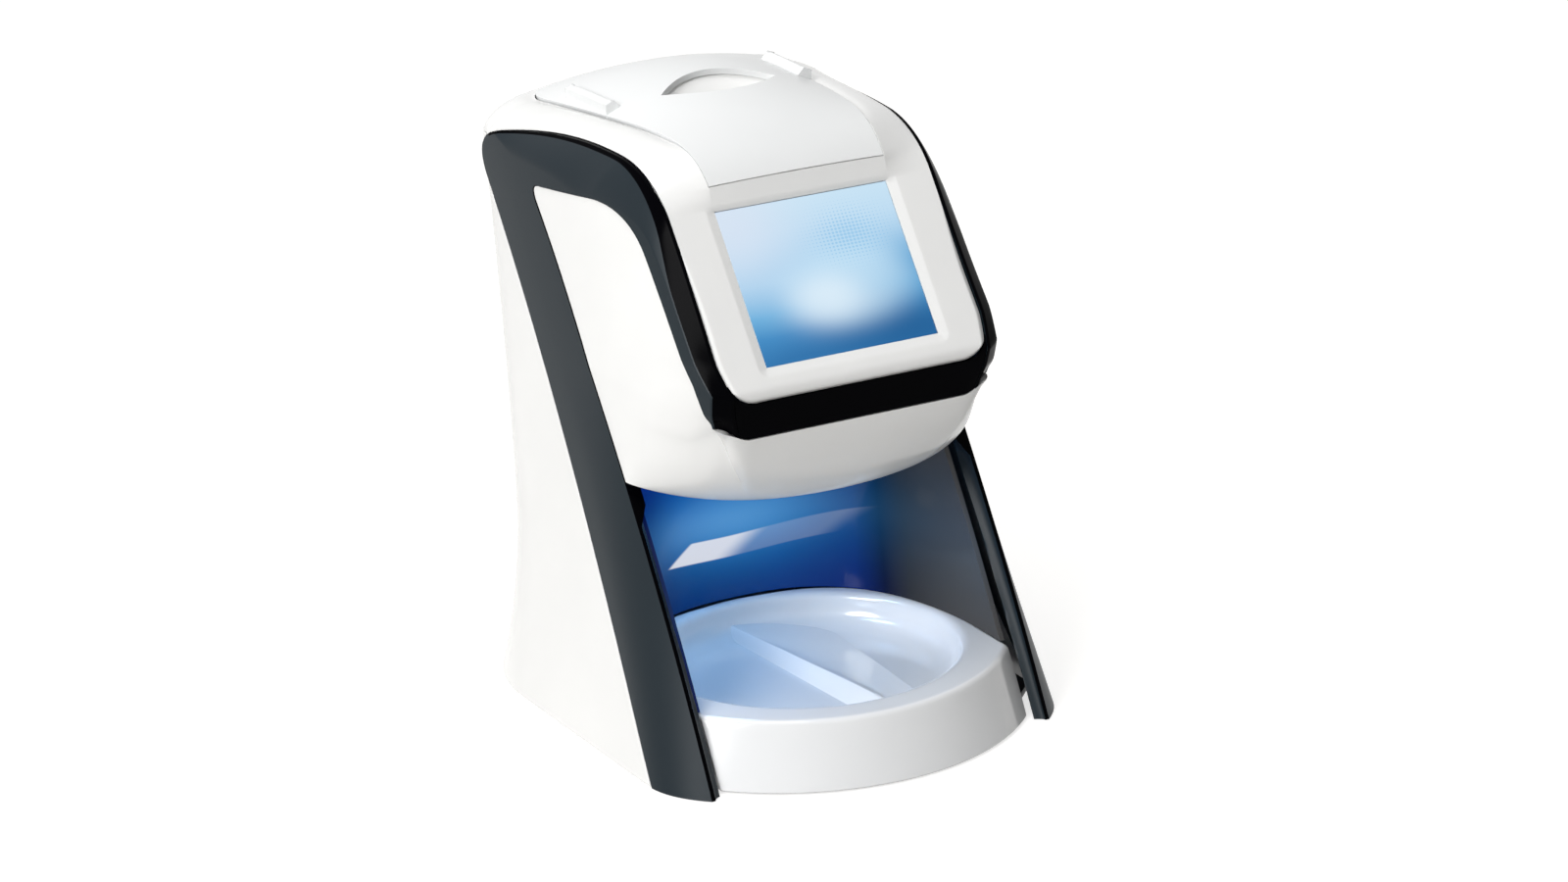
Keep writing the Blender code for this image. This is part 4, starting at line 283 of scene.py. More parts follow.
def resample(path, steps):
    """The same path with equal runs along its length, by interpolation over the running length."""
    path = np.asarray(path, float)
    run = np.r_[0, np.cumsum(np.linalg.norm(np.diff(path, axis=0), axis=1))]
    wanted = np.linspace(0, run[-1], steps + 1)
    return np.stack([np.interp(wanted, run, path[:, k]) for k in range(path.shape[1])], axis=1)


def straight(start, end, steps):
    """A straight line from start to end in equal steps."""
    t = np.linspace(0, 1, steps + 1)[:, None]
    return np.asarray(start, float) * (1 - t) + np.asarray(end, float) * t


def bend(start, corner, end, steps):
    """The quadratic Bezier curve that rounds a corner from start to end."""
    t = np.linspace(0, 1, steps + 1)[:, None]
    start, corner, end = (np.asarray(p, float) for p in (start, corner, end))
    return (1 - t) ** 2 * start + 2 * t * (1 - t) * corner + t ** 2 * end


def offset(path, distance):
    """The path moved to its left by a distance: each point goes along its unit normal in the plane."""
    tangent = np.gradient(np.asarray(path, float), axis=0)
    tangent /= np.linalg.norm(tangent, axis=1)[:, None]
    return path + distance * np.stack([-tangent[:, 1], tangent[:, 0]], axis=1)


def grid_quads(rows, columns, start=0, closed=False):
    """Quads of a grid of points, row after row; closed joins the last column to the first."""
    row = np.arange(rows - 1)[:, None]
    column = np.arange(columns if closed else columns - 1)[None, :]
    following = (column + 1) % columns
    quads = [row * columns + column, row * columns + following, (row + 1) * columns + following,
             (row + 1) * columns + column]
    return start + np.stack(np.broadcast_arrays(*quads), axis=-1).reshape(-1, 4)


def skin_normals(points, quads):
    """Unit normal of each point: its quads' diagonal cross products summed, turned out from the middle."""
    a, b, c, d = (points[quads[:, k]] for k in range(4))
    face = np.cross(c - a, d - b)
    normals = np.zeros_like(points)
    for k in range(4):
        np.add.at(normals, quads[:, k], face)
    normals /= np.maximum(np.linalg.norm(normals, axis=1), 1e-12)[:, None]
    return normals if np.sum(normals * (points - points.mean(axis=0))) > 0 else -normals


def make_piece(name, points, faces, finish, body, rim=0.0, sharp=38, second=None, where=None):
    """A mesh piece that rides on a body. rim rounds every edge sharper than the given angle in degrees, and
    the faces marked in where take the second finish."""
    mesh = bpy.data.meshes.new(name)
    mesh.from_pydata([tuple(p) for p in np.asarray(points, float).tolist()], [],
                     [tuple(f) for f in (faces.tolist() if hasattr(faces, "tolist") else faces)])
    mesh.update()
    mesh.shade_smooth()
    mesh.set_sharp_from_angle(angle=math.radians(sharp))
    piece = bpy.data.objects.new(name, mesh)
    bpy.context.scene.collection.objects.link(piece)
    mesh.materials.append(finish)
    if second:
        mesh.materials.append(second)
        mesh.polygons.foreach_set("material_index", np.asarray(where, dtype=np.int32))
    if rim:
        bevel = piece.modifiers.new("rounded rims", "BEVEL")
        bevel.width = rim
        bevel.segments = 3
        bevel.limit_method = "ANGLE"
        bevel.angle_limit = math.radians(sharp)
        bevel.harden_normals = True
    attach(piece, body)
    return piece


def signed_volume(points, quads):
    """Six times the volume that quads enclose, a sum of triple products, above zero where they face out."""
    a, b, c, d = (points[quads[:, k]] for k in range(4))
    return np.sum(a * np.cross(b, c)) + np.sum(a * np.cross(c, d))


def solid_from(outer, inner, quads):
    """Points and faces of a closed wall: the outer quads, the inner ones turned over, and a quad on each
    boundary edge, which is an edge that no second quad runs the other way. Faces end up pointing outwards."""
    count = len(outer)
    edges = np.concatenate([quads[:, [k, (k + 1) % 4]] for k in range(4)])
    codes = edges[:, 0] * count + edges[:, 1]
    free = edges[~np.isin(edges[:, 1] * count + edges[:, 0], codes)]
    rim = np.stack([free[:, 1], free[:, 0], free[:, 0] + count, free[:, 1] + count], axis=1)
    faces = np.concatenate([quads, quads[:, ::-1] + count, rim])
    points = np.vstack([outer, inner])
    return points, faces if signed_volume(points, faces) > 0 else faces[:, ::-1]


def rear_y(z):
    """The rear wall in side view: a waist, a square-law flare at the foot and a power-law lean above."""
    foot = np.clip(1 - z / REAR_WAIST_Z, 0, None) ** 2
    lean = np.clip((z - REAR_WAIST_Z) / (REAR_TOP_Z - REAR_WAIST_Z), 0, None) ** REAR_LEAN_EXPONENT
    return REAR_WAIST_Y + REAR_FOOT_FLARE * foot + REAR_TOP_LEAN * lean


def rear_outline(z, start_y, inset, steps):
    """Right half of the plan at height z: along the side, round the corner's circle, and to the middle."""
    share = np.clip(1 - z / REAR_TOP_Z, 0, None) ** REAR_CORNER_EXPONENT
    radius = REAR_CORNER_TOP + (REAR_CORNER_FOOT - REAR_CORNER_TOP) * share
    centre_y = rear_y(z) - radius
    centre_x = float(half_width(centre_y, z)) - radius
    reach = radius - inset
    first = math.asin(np.clip((start_y - centre_y) / reach, 0, 1))
    turn = np.linspace(first, math.pi / 2, CORNER_STEPS + 1)
    arc = np.stack([centre_x + reach * np.cos(turn), centre_y + reach * np.sin(turn)], axis=1)
    parts = [arc, straight(arc[-1], (0, centre_y + reach), 12)[1:]]
    if start_y < centre_y:
        side_y = np.linspace(start_y, centre_y, CORNER_STEPS)[:-1]
        parts.insert(0, np.stack([half_width(side_y, z) - inset, side_y], axis=1))
    return resample(np.vstack(parts), steps)


def frame_corners():
    """Where the leg's rear line and the face line meet the rail, found on a fine ladder of heights."""
    z = np.linspace(LEG_TOP_Z, RAIL_CREST_Z, 2000)
    rear = z[np.argmin(np.abs(rail_z(leg_rear_y(z)) - z))]
    front = z[np.argmin(np.abs(rail_z(face_y(z)) - z))]
    return np.array([leg_rear_y(rear), rear]), np.array([face_y(front), front])


def outer_rear_path(fineness):
    """Outer edge of the frame from the foot up the leg's rear and round the top rear corner."""
    rear, _ = frame_corners()
    foot = np.array([leg_rear_y(FRAME_BOTTOM_Z), FRAME_BOTTOM_Z])
    down = (foot - rear) / np.linalg.norm(foot - rear)
    start = rear + down * REAR_CORNER_REACH
    end_y = rear[0] - REAR_CORNER_REACH
    return straight(foot, start, 10 * fineness), bend(start, rear, (end_y, rail_z(end_y)), 6 * fineness)


white_gloss = plastic("white_gloss_shell", (0.80, 0.80, 0.79), 0.24, coat=0.25)

leg_edge, corner_edge = outer_rear_path(FINENESS)
shell_edge = offset(np.vstack([leg_edge[:-1], corner_edge]), -GAP)
shell_levels = np.r_[0.001, np.linspace(0.004, REAR_SEAM_Z - 2 * GAP, SHELL_LEVELS), REAR_SEAM_Z - GAP]
shell_columns = 2 * SHELL_STEPS + 1
shell_skins = []
for inset in (0.0, SHELL_WALL):
    half = []
    for z in shell_levels:
        start_y = float(np.interp(z, shell_edge[:, 1], shell_edge[:, 0]))
        level = rear_outline(z, start_y, inset, SHELL_STEPS)
        half.append(np.column_stack([level, np.full(len(level), z)]))
    half = np.array(half)
    shell_skins.append(np.concatenate([half, half[:, -2::-1] * [-1, 1, 1]], axis=1))
shell_quads = grid_quads(len(shell_levels), shell_columns)

# The window for the connector panel is a hole left in the grid, its edges drawn in to the window's size.
PANEL_HALF_WIDTH = 0.042
PANEL_LOW_Z = 0.014
PANEL_TOP_Z = 0.046
window_sides = (PANEL_HALF_WIDTH + GAP, -PANEL_HALF_WIDTH - GAP)
window_levels = (PANEL_LOW_Z - GAP, PANEL_TOP_Z + GAP)
rows = [int(np.argmin(np.abs(shell_levels - z))) for z in window_levels]
low_row = shell_skins[0][rows[0]]
behind = low_row[:, 1] > REAR_WAIST_Y - 0.01
columns = [int(np.argmin(np.where(behind, np.abs(low_row[:, 0] - x), 9))) for x in window_sides]
for skin in shell_skins:
    for column, x in zip(columns, window_sides):
        skin[rows[0]:rows[1] + 1, column, 0] = x
    for row, z in zip(rows, window_levels):
        skin[row, columns[0]:columns[1] + 1, 2] = z
quad_row, quad_column = np.divmod(np.arange(len(shell_quads)), shell_columns - 1)
in_window = ((quad_row >= rows[0]) & (quad_row < rows[1]) & (quad_column >= columns[0])
             & (quad_column < columns[1]))
outer, inner = (skin.reshape(-1, 3) for skin in shell_skins)
points, faces = solid_from(outer, inner, shell_quads[~in_window])
rear_shell = make_piece("rear_shell_skin", points, faces, white_gloss, "housing", rim=0.0006)
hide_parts("rear_shell")


# Side frames. One slate satin moulding on each side: the slanting leg, the rail over the head and the band
# down the front. They are 6 mm thick and satin outside. Their rims, and the rolled edge where it turns to the
# front, take a near-black copy of the same plastic that barely reflects: painted shade where the edge faces
# front.

FRAME_WALL = 0.006
FRAME_EDGE_RUN = 0.0050
RAIL_EDGE_RUN = 0.018
FACE_BLEND_Y = 0.012
FACE_BLEND_RUN = 0.056
RAIL_EDGE_SHADE = 0.0013
FACE_EDGE_SHADE = 0.0045
EDGE_SHADE_COLUMNS = 9
CHAMFER_EXPONENT = 1.12
LEG_TIP_WALL = 0.0017
LEG_RETURN_X = 0.0722
LEG_BAR_X = 0.0735
LEG_BAR_SHARES = (0.7, 0.8)
LEG_RETURN_SHARE = 0.87
LIP_LOW_Z = 0.1018
RAIL_INSET_FRONT_Y = -0.022
RAIL_INSET_REAR_Y = 0.088
RAIL_INSET_REAR = 0.0006
RAIL_INSET_BULGE = 0.0070
RAIL_INSET_EXPONENT = 1.5
LOOP_RAIL_FRONT = (0.014, 0.2145)
LOOP_CORNER = (-0.0090, 0.2165)
LOOP_FACE_TOP = (-0.0225, 0.2000)
LOOP_FACE_LOW = (-0.0567, 0.1590)
LOOP_ELBOW = (-0.0635, 0.1485)
LOOP_END_Y = -0.063
LOOP_REAR_REACH = 0.008


def rail_inset(y):
    """How far the roof's seam lies inside the body's side: a blend from front to rear plus a bulge."""
    share = np.clip((y - RAIL_INSET_FRONT_Y) / (RAIL_INSET_REAR_Y - RAIL_INSET_FRONT_Y), 0, 1)
    share = share ** RAIL_INSET_EXPONENT
    return ((FRAME_WALL + GAP) * (1 - share) + RAIL_INSET_REAR * share
            + 4 * RAIL_INSET_BULGE * share * (1 - share))


def outer_front_path(fineness):
    """Outer edge of the frame from the front corner down the face to the strip's lower edge."""
    _, front = frame_corners()
    start_y = front[0] + FRONT_CORNER_REACH
    down = np.array([-math.sin(FACE_ANGLE), -math.cos(FACE_ANGLE)])
    turn = bend((start_y, rail_z(start_y)), front, front + down * FRONT_CORNER_REACH, 6 * fineness)
    face = straight(turn[-1], (FACE_LOW_Y, FACE_LOW_Z), 4 * fineness)
    return turn, face, straight(face[-1], (STRIP_LOW_Y, STRIP_LOW_Z), 3 * fineness)


def frame_paths(fineness):
    """Matching points of the frame's outer and inner edges, from the foot to the strip."""
    leg, rear_turn = outer_rear_path(fineness)
    front_turn, face, end = outer_front_path(fineness)
    rail_y = np.linspace(rear_turn[-1][0], front_turn[0][0], 4 * fineness + 1)
    rail = np.stack([rail_y, rail_z(rail_y)], axis=1)
    outer = np.vstack([leg[:-1], rear_turn[:-1], rail[:-1], front_turn[:-1], face[:-1], end])
    inner_z = np.linspace(FRAME_BOTTOM_Z, LEG_TOP_Z - LOOP_REAR_REACH, 10 * fineness + 1)
    inner_leg = np.stack([leg_front_y(inner_z), inner_z], axis=1)
    top_end = (LEG_TOP_Y - LOOP_REAR_REACH, LEG_TOP_Z + GAP)
    inner_rear = bend(inner_leg[-1], (LEG_TOP_Y, LEG_TOP_Z), top_end, 6 * fineness)
    inner_rail = straight(top_end, LOOP_RAIL_FRONT, 4 * fineness)
    inner_front = bend(LOOP_RAIL_FRONT, LOOP_CORNER, LOOP_FACE_TOP, 6 * fineness)
    inner_face = straight(LOOP_FACE_TOP, LOOP_FACE_LOW, 4 * fineness)
    inner_end = bend(LOOP_FACE_LOW, LOOP_ELBOW, (LOOP_END_Y, STRIP_LOW_Z), 3 * fineness)
    inner_parts = (inner_leg, inner_rear, inner_rail, inner_front, inner_face)
    inner = np.vstack([*(part[:-1] for part in inner_parts), inner_end])
    return outer, inner


slate = plastic("slate_satin", (0.0076, 0.0142, 0.0196), 0.42, specular=0.21, grain=0.05, grain_scale=2600.0)
# The near-black copy is the front strip's own black, and painted shade on the frames' rolled edges and rims.
black_gloss_and_edge_shade = plastic("black_gloss_and_painted_edge_shade", (0.0008, 0.0008, 0.0014), 0.14, specular=0.012, grain=0.01,
                      mottle=0.15)


def roll(share, fullness):
    """Fall of the rolled edge from 1 at the edge to 0 a run away: a square law, or with fullness a power law
    near one, which is all but a flat chamfer."""
    left = np.clip(1 - share, 0, 1)
    return (1 - fullness) * left ** 2 + fullness * left ** CHAMFER_EXPONENT


CORNER_LIFT = 0.0058
CORNER_LIFT_REACH = 0.0125
CORNER_LIFT_Y = -0.0620
CORNER_LIFT_HEIGHT = 0.013


def lift_corner(points):
    """Rounds the black strip's lower corners: points near them rise by a smooth hump, a square of one less
    the squared distance, in plan and in height alike. The frames, the strip and the lip share it."""
    corner_x = float(half_width(STRIP_LOW_Y, STRIP_LOW_Z))
    away = np.hypot(np.abs(points[..., 0]) - corner_x, points[..., 1] - CORNER_LIFT_Y) / CORNER_LIFT_REACH
    level = (points[..., 2] - STRIP_LOW_Z) / CORNER_LIFT_HEIGHT
    lifted = points.copy()
    lifted[..., 2] += CORNER_LIFT * np.clip(1 - away ** 2, 0, 1) ** 2 * np.clip(1 - level ** 2, 0, 1) ** 2
    return lifted


frame_outer, frame_inner = frame_paths(FINENESS)
frame_rows = len(frame_outer)
frame_width = np.linalg.norm(frame_outer - frame_inner, axis=1)[:, None]
on_face = np.clip((FACE_BLEND_Y - frame_outer[:, :1]) / FACE_BLEND_RUN, 0, 1)
on_face = on_face * on_face * (3 - 2 * on_face) * (frame_outer[:, 1:] > STRIP_LOW_Z - GAP)
edge_run = RAIL_EDGE_RUN + (FRAME_EDGE_RUN - RAIL_EDGE_RUN) * on_face
edge_shade_share = (RAIL_EDGE_SHADE + (FACE_EDGE_SHADE - RAIL_EDGE_SHADE) * on_face) / frame_width
reach = np.minimum(edge_run / frame_width, 0.85)
roll_share = 1 - np.cos(np.linspace(0, math.pi / 2, EDGE_SHADE_COLUMNS + 1))[None, :]
frame_shares = np.hstack([roll_share * edge_shade_share, edge_shade_share + (reach - edge_shade_share) * np.linspace(0, 1, 11)[None, 1:],
                          reach + (1 - reach) * np.linspace(0, 1, 25)[None, 1:]])
across = frame_shares[..., None]
grid = frame_outer[:, None, :] * (1 - across) + frame_inner[:, None, :] * across
y, z = grid[..., 0], grid[..., 1]
from_edge = frame_shares * frame_width
on_leg = (np.arange(frame_rows)[:, None] < 16 * FINENESS) & (frame_outer[:, 1:] < REAR_SEAM_Z)
depth = np.where(on_leg, GAP, np.maximum(rail_inset(frame_outer[:, :1]) - LEG_TIP_WALL, GAP))
surface = half_width(y, z) - depth * roll(from_edge / edge_run, on_face)
back = np.minimum(half_width(y, z) - FRAME_WALL, surface - LEG_TIP_WALL + 2 * GAP)
low_share = np.clip((LIP_LOW_Z - 0.002 - z[:, -1:]) / 0.004, 0, 1)
bar_start, bar_full = LEG_BAR_SHARES
to_bar = (frame_shares - bar_start) / (bar_full - bar_start)
to_return = (frame_shares - bar_full) / (LEG_RETURN_SHARE - bar_full)
to_tip = (frame_shares - LEG_RETURN_SHARE) / (1 - LEG_RETURN_SHARE)
low_back = np.select([frame_shares < bar_start, frame_shares < bar_full, frame_shares < LEG_RETURN_SHARE],
                     [back, back + (LEG_BAR_X - back) * to_bar,
                      LEG_BAR_X + (LEG_RETURN_X - LEG_BAR_X) * to_return],
                     LEG_RETURN_X + (surface - LEG_TIP_WALL - LEG_RETURN_X) * to_tip)
back = back * (1 - low_share) + low_back * low_share
frame_columns = frame_shares.shape[1]
# The first columns of the roll, off the leg, take the near-black copy: painted shade where the edge faces the
# front.
edge_shade_faces = np.broadcast_to(np.arange(frame_columns - 1) < EDGE_SHADE_COLUMNS,
                           (frame_rows - 1, frame_columns - 1))
edge_shade_faces = (edge_shade_faces & ~on_leg[:-1]).ravel()
for side, name in ((-1, "left"), (1, "right")):
    outer = lift_corner(np.stack([side * surface, y, z], axis=-1).reshape(-1, 3))
    inner = lift_corner(np.stack([side * back, y, z], axis=-1).reshape(-1, 3))
    points, faces = solid_from(outer, inner, grid_quads(frame_rows, frame_columns))
    # Marked faces take the near-black copy as painted shade: the roll's outer faces and the rims; the inner
    # faces stay slate.
    marks = np.r_[edge_shade_faces, 0 * edge_shade_faces, np.ones(len(faces) - 2 * len(edge_shade_faces), int)]
    side_frame = make_piece("side_frame_%s_skin" % name, points, faces, slate, "housing", rim=0.0006,
                            second=black_gloss_and_edge_shade, where=marks)
    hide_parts("side_frame_" + name)


# Front strip. A piano-black moulding that closes the front between the two frames. Its upper corners rise
# round the bezel's rounded corners, and its ends roll back into the frames.

BEZEL_CORNER = 0.0100
FOLD_ROUND = 0.0030
FACE_OVERLAP = 0.0038
STRIP_WALL = 0.003
STRIP_COLUMNS = 161


def bezel_rise(inwards):
    """Rise of the bezel's lower edge at a distance in from its end: a quarter circle, then nothing."""
    into = np.clip(BEZEL_CORNER - inwards, 0, BEZEL_CORNER)
    return BEZEL_CORNER - np.sqrt(BEZEL_CORNER ** 2 - into ** 2)


def face_curve(slope):
    """Side view (y, z) of the bezel at a distance up the sloping face. Low down it rounds over the fold by a
    quadratic Bezier curve and ends a little way down the strip."""
    slope = np.asarray(slope, float)
    fold = np.array([FACE_LOW_Y, FACE_LOW_Z])
    up_face = np.array([math.sin(FACE_ANGLE), math.cos(FACE_ANGLE)])
    strip = np.array([STRIP_LOW_Y, STRIP_LOW_Z]) - fold
    low = fold + strip * FACE_OVERLAP / np.linalg.norm(strip)
    t = np.clip((FOLD_ROUND - slope) / (FOLD_ROUND + FACE_OVERLAP), 0, 1)[..., None]
    rounded = (1 - t) ** 2 * (fold + FOLD_ROUND * up_face) + 2 * t * (1 - t) * fold + t ** 2 * low
    place = np.where(slope[..., None] > FOLD_ROUND, fold + slope[..., None] * up_face, rounded)
    return place[..., 0], place[..., 1]


def face_half(slope):
    """Half-width of the bezel at a distance up the sloping face."""
    return half_width(*face_curve(slope)) - FRAME_WALL - GAP


strip_share = np.linspace(-1, 1, STRIP_COLUMNS)
strip_share = 0.5 * strip_share + 0.5 * np.sin(strip_share * math.pi / 2)
web_low = -FACE_OVERLAP - GAP
strip_rows = []
for share in np.linspace(1, 0, 13)[:-1]:
    slope = web_low + bezel_rise((1 - np.abs(strip_share)) * float(face_half(0.0))) * share
    strip_rows.append(np.stack([strip_share * face_half(slope), *face_curve(slope)], axis=1))
web_rows = len(strip_rows)
web_y, web_z = (float(v) for v in face_curve(web_low))
for share in np.linspace(0, 1, 14):
    y = web_y + (STRIP_LOW_Y - web_y) * share
    z = web_z - GAP + (STRIP_LOW_Z + 2 * GAP - web_z) * share
    half = float(half_width(y, z)) - FRAME_WALL - GAP
    strip_rows.append(np.stack([strip_share * half, y + 0 * strip_share, z + 0 * strip_share], axis=1))
outer = np.vstack(strip_rows)
inner = outer + np.array([0, STRIP_WALL, 0])
web = slice(0, STRIP_COLUMNS * web_rows)
inner[web] = outer[web] + STRIP_WALL * np.array([0, math.cos(FACE_ANGLE), -math.sin(FACE_ANGLE)])
points, faces = solid_from(lift_corner(outer), lift_corner(inner), grid_quads(len(strip_rows), STRIP_COLUMNS))
front_strip = make_piece("front_strip_skin", points, faces, black_gloss_and_edge_shade, "housing")
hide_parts("front_strip")


# Lower head shell. Gloss white moulding: an insert inside each frame's loop, joined by the rounded lip that
# rolls under the strip. Its lip bridges the opening of the cavity.

LIP_LOW_Y = -0.0495
LIP_SIDE_RISE = 0.008
LIP_TOP_EXPONENT = 2.6
LIP_LOW_EXPONENT = 1.72
LIP_CORNER_ANGLE = math.radians(31)
LIP_SPACING = 1.5
LIP_BLEND = 0.85
INSERT_RECESS = 0.0004
FRAME_EDGE_DEPTH = 0.0048
LIP_FRONT_STATIONS = 36
LIP_SIDE_STATIONS = 48
LIP_TURN_STATIONS = 6
LIP_LEAN_STATIONS = 14
LIP_ROWS = 29
INSERT_ROWS = 72
CORNER_ROWS_MIXED = 8
ROWS_TO_SETTLE = 30
LEAN_RISE = 0.003

lip_angle = np.r_[np.linspace(0, LIP_CORNER_ANGLE, LIP_FRONT_STATIONS + 1),
                  np.linspace(LIP_CORNER_ANGLE, math.pi / 2, LIP_SIDE_STATIONS + 1)[1:]]
lip_corner_y = LOOP_END_Y + 2 * GAP
lip_end_x = float(half_width(STRIP_LOW_Y, STRIP_LOW_Z)) - FRAME_EDGE_DEPTH
lip_front = straight((0, STRIP_LOW_Y), (lip_end_x, STRIP_LOW_Y),
                     LIP_FRONT_STATIONS - LIP_TURN_STATIONS)
lip_share = np.linspace(0, 1, LIP_SIDE_STATIONS + 1) ** LIP_SPACING
lip_side_y = lip_corner_y + (leg_front_y(STRIP_LOW_Z) - GAP - lip_corner_y) * lip_share
lip_nose = FRAME_EDGE_DEPTH * roll((lip_side_y - STRIP_LOW_Y) / FRAME_EDGE_RUN, 1.0)
lip_side = np.stack([half_width(lip_side_y, STRIP_LOW_Z) - lip_nose - INSERT_RECESS, lip_side_y], axis=1)
lip_turn = bend(lip_front[-1], (lip_side[0, 0] - 0.0004, STRIP_LOW_Y), lip_side[0], LIP_TURN_STATIONS)
lip_top = np.vstack([lip_front, lip_turn[1:-1], lip_side])
past_turn = np.arange(len(lip_top)) - LIP_FRONT_STATIONS


def lip_row(turn):
    """One row of the lip: it starts as the upper line, leans in like the insert above it, and turns into a
    rounder superellipse as it rolls under. turn goes from zero to a right angle at the lower edge."""
    drop = STRIP_LOW_Z - GAP - LIP_LOW_Z - LIP_SIDE_RISE * np.sin(lip_angle) ** 3
    z = STRIP_LOW_Z - GAP - drop * math.sin(turn)
    front = LIP_LOW_Y + (STRIP_LOW_Y - LIP_LOW_Y) * math.cos(turn)
    rear = leg_front_y(z) - GAP
    exponent = LIP_TOP_EXPONENT + (LIP_LOW_EXPONENT - LIP_TOP_EXPONENT) * math.sin(turn) ** 2
    width = half_width(rear, z) - INSERT_RECESS
    x = width * np.sin(lip_angle) ** (2 / exponent)
    y = rear - (rear - front) * np.cos(lip_angle) ** (2 / exponent)
    ahead = (lip_top[:, 1] - lip_top[-1, 1]) / (STRIP_LOW_Y - lip_top[-1, 1])
    share = math.sin(turn) ** LIP_BLEND
    line_y = rear + (front - rear) * ahead
    nose_run = FRAME_EDGE_RUN * (1 + 1.5 * math.sin(turn))
    nose = FRAME_EDGE_DEPTH * roll((line_y - front) / nose_run, 1 - 0.5 * math.sin(turn))
    lean = (half_width(line_y, STRIP_LOW_Z + LEAN_RISE) - half_width(line_y, STRIP_LOW_Z)) / LEAN_RISE
    below = STRIP_LOW_Z - z
    along_side = half_width(line_y, STRIP_LOW_Z) - nose - INSERT_RECESS - lean * below
    near_turn = np.clip((past_turn + LIP_LEAN_STATIONS) / LIP_LEAN_STATIONS, 0, 1)
    along_front = lip_top[:, 0] - lean[LIP_FRONT_STATIONS] * below * near_turn
    line_x = np.where(past_turn >= 0, along_side, along_front)
    line_x += (width - line_x[-1]) * (1 - ahead)
    x = line_x * (1 - share) + x * share
    y = line_y * (1 - share) + y * share
    return np.stack([x, y, z], axis=1)


lip_half = np.array([lip_row(turn) for turn in np.linspace(0, math.pi / 2, LIP_ROWS)])
lip_grid = np.concatenate([lip_half[:, :0:-1] * [-1, 1, 1], lip_half], axis=1)
loop = offset(frame_inner, GAP)
turn_rows, rail_rows = 10 * FINENESS, 6 * FINENESS
rear_line = loop[:turn_rows + 1]
rear_line = rear_line[rear_line[:, 1] > STRIP_LOW_Z + 0.002]
rear_line = resample(np.vstack([[(leg_front_y(STRIP_LOW_Z) - GAP, STRIP_LOW_Z)], rear_line]), INSERT_ROWS)
front_line = resample(loop[turn_rows + rail_rows:-1][::-1], INSERT_ROWS)
corner_line = resample(loop[turn_rows:turn_rows + rail_rows + 1], LIP_SIDE_STATIONS)[::-1]
even_share = np.linspace(0, 1, LIP_SIDE_STATIONS + 1)[:, None]
insert_rows = []
unmixed = INSERT_ROWS - CORNER_ROWS_MIXED
for k in range(1, INSERT_ROWS + 1):
    settled = min(k / ROWS_TO_SETTLE, 1)
    insert_share = even_share ** (LIP_SPACING + (1 - LIP_SPACING) * settled)
    basis = min(k, unmixed)
    line = front_line[basis] * (1 - insert_share) + rear_line[basis] * insert_share
    mixed = max(k - unmixed, 0) / CORNER_ROWS_MIXED
    line = line * (1 - mixed) + corner_line * mixed
    insert_rows.append(np.column_stack([half_width(line[:, 0], line[:, 1]) - INSERT_RECESS, line]))
insert_rows = np.array(insert_rows)
lip_columns = lip_grid.shape[1]
lip_count = LIP_ROWS * lip_columns
middle = lip_columns // 2
insert_columns = LIP_SIDE_STATIONS + 1
head_points = np.vstack([lip_grid.reshape(-1, 3), insert_rows.reshape(-1, 3),
                         (insert_rows * [-1, 1, 1]).reshape(-1, 3)])
head_points = lift_corner(head_points)
head_quads = [grid_quads(LIP_ROWS, lip_columns)]
for mirror, start in ((False, lip_count), (True, lip_count + INSERT_ROWS * insert_columns)):
    step = -1 if mirror else 1
    below = middle + step * (LIP_FRONT_STATIONS + np.arange(insert_columns))
    above = start + np.arange(insert_columns)
    first = np.stack([below[1:], below[:-1], above[:-1], above[1:]], axis=1)
    rest = grid_quads(INSERT_ROWS, insert_columns, start)
    head_quads += [first[:, ::-1], rest] if mirror else [first, rest[:, ::-1]]
head_quads = np.vstack(head_quads)
head_normals = skin_normals(head_points, head_quads)
lip_index = np.arange(lip_count).reshape(-1, lip_columns)
head_normals[lip_index[:, [0, -1]].ravel(), 1] = 0
head_normals[lip_index[0, middle - LIP_FRONT_STATIONS:middle + LIP_FRONT_STATIONS + 1], 2] = 0
head_normals /= np.linalg.norm(head_normals, axis=1)[:, None]
points, faces = solid_from(head_points, head_points - SHELL_WALL * head_normals, head_quads)
lower_head = make_piece("lower_head_skin", points, faces, white_gloss, "housing", rim=0.0005)
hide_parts("lower_head_shell")


# Front hood. Gloss white moulding with the bezel round the screen, the steeper strip above it and the
# shoulders that run beside the lid and round behind it. It clips over the frames' upper edges.

STRIP_HEIGHT = 0.0083
LID_FRONT_Y = -0.0223
LID_REAR_Y = 0.0980
CREST_TOP_Y = 0.0530
CREST_RISE = 0.0148
CREST_FRONT_DROP = 0.0220
CREST_REAR_DROP = 0.0087
CREST_ROUND_SHARE = 0.63
CREST_FRONT_EXPONENT = 8
JOINT_FRONT_DROP = 0.0135
JOINT_TOP_Y = 0.0185
JOINT_RISE = 0.0058
JOINT_REAR_DROP = 0.0043
JOINT_FRONT_EXPONENT = 3.65
JOINT_REAR_EXPONENT = 1.2
LID_FRONT_HALF_WIDTH = 0.0396
LID_CORNER_HALF_WIDTH = 0.0535
LID_REAR_HALF_WIDTH = 0.0465
LID_CORNER_Y = 0.0880
LID_SIDE_EXPONENT = 1.2
STRIP_ROWS = 6
SIDE_ROWS = 66
CORNER_ROWS = 12
SHOULDER_EXPONENT = 1.6
SCREEN_WIDTH = 0.0767
SCREEN_HEIGHT = 0.064
SCREEN_LOW = 0.0105
LID_STEP = 0.0003
VALLEY_DEPTH = 0.0010
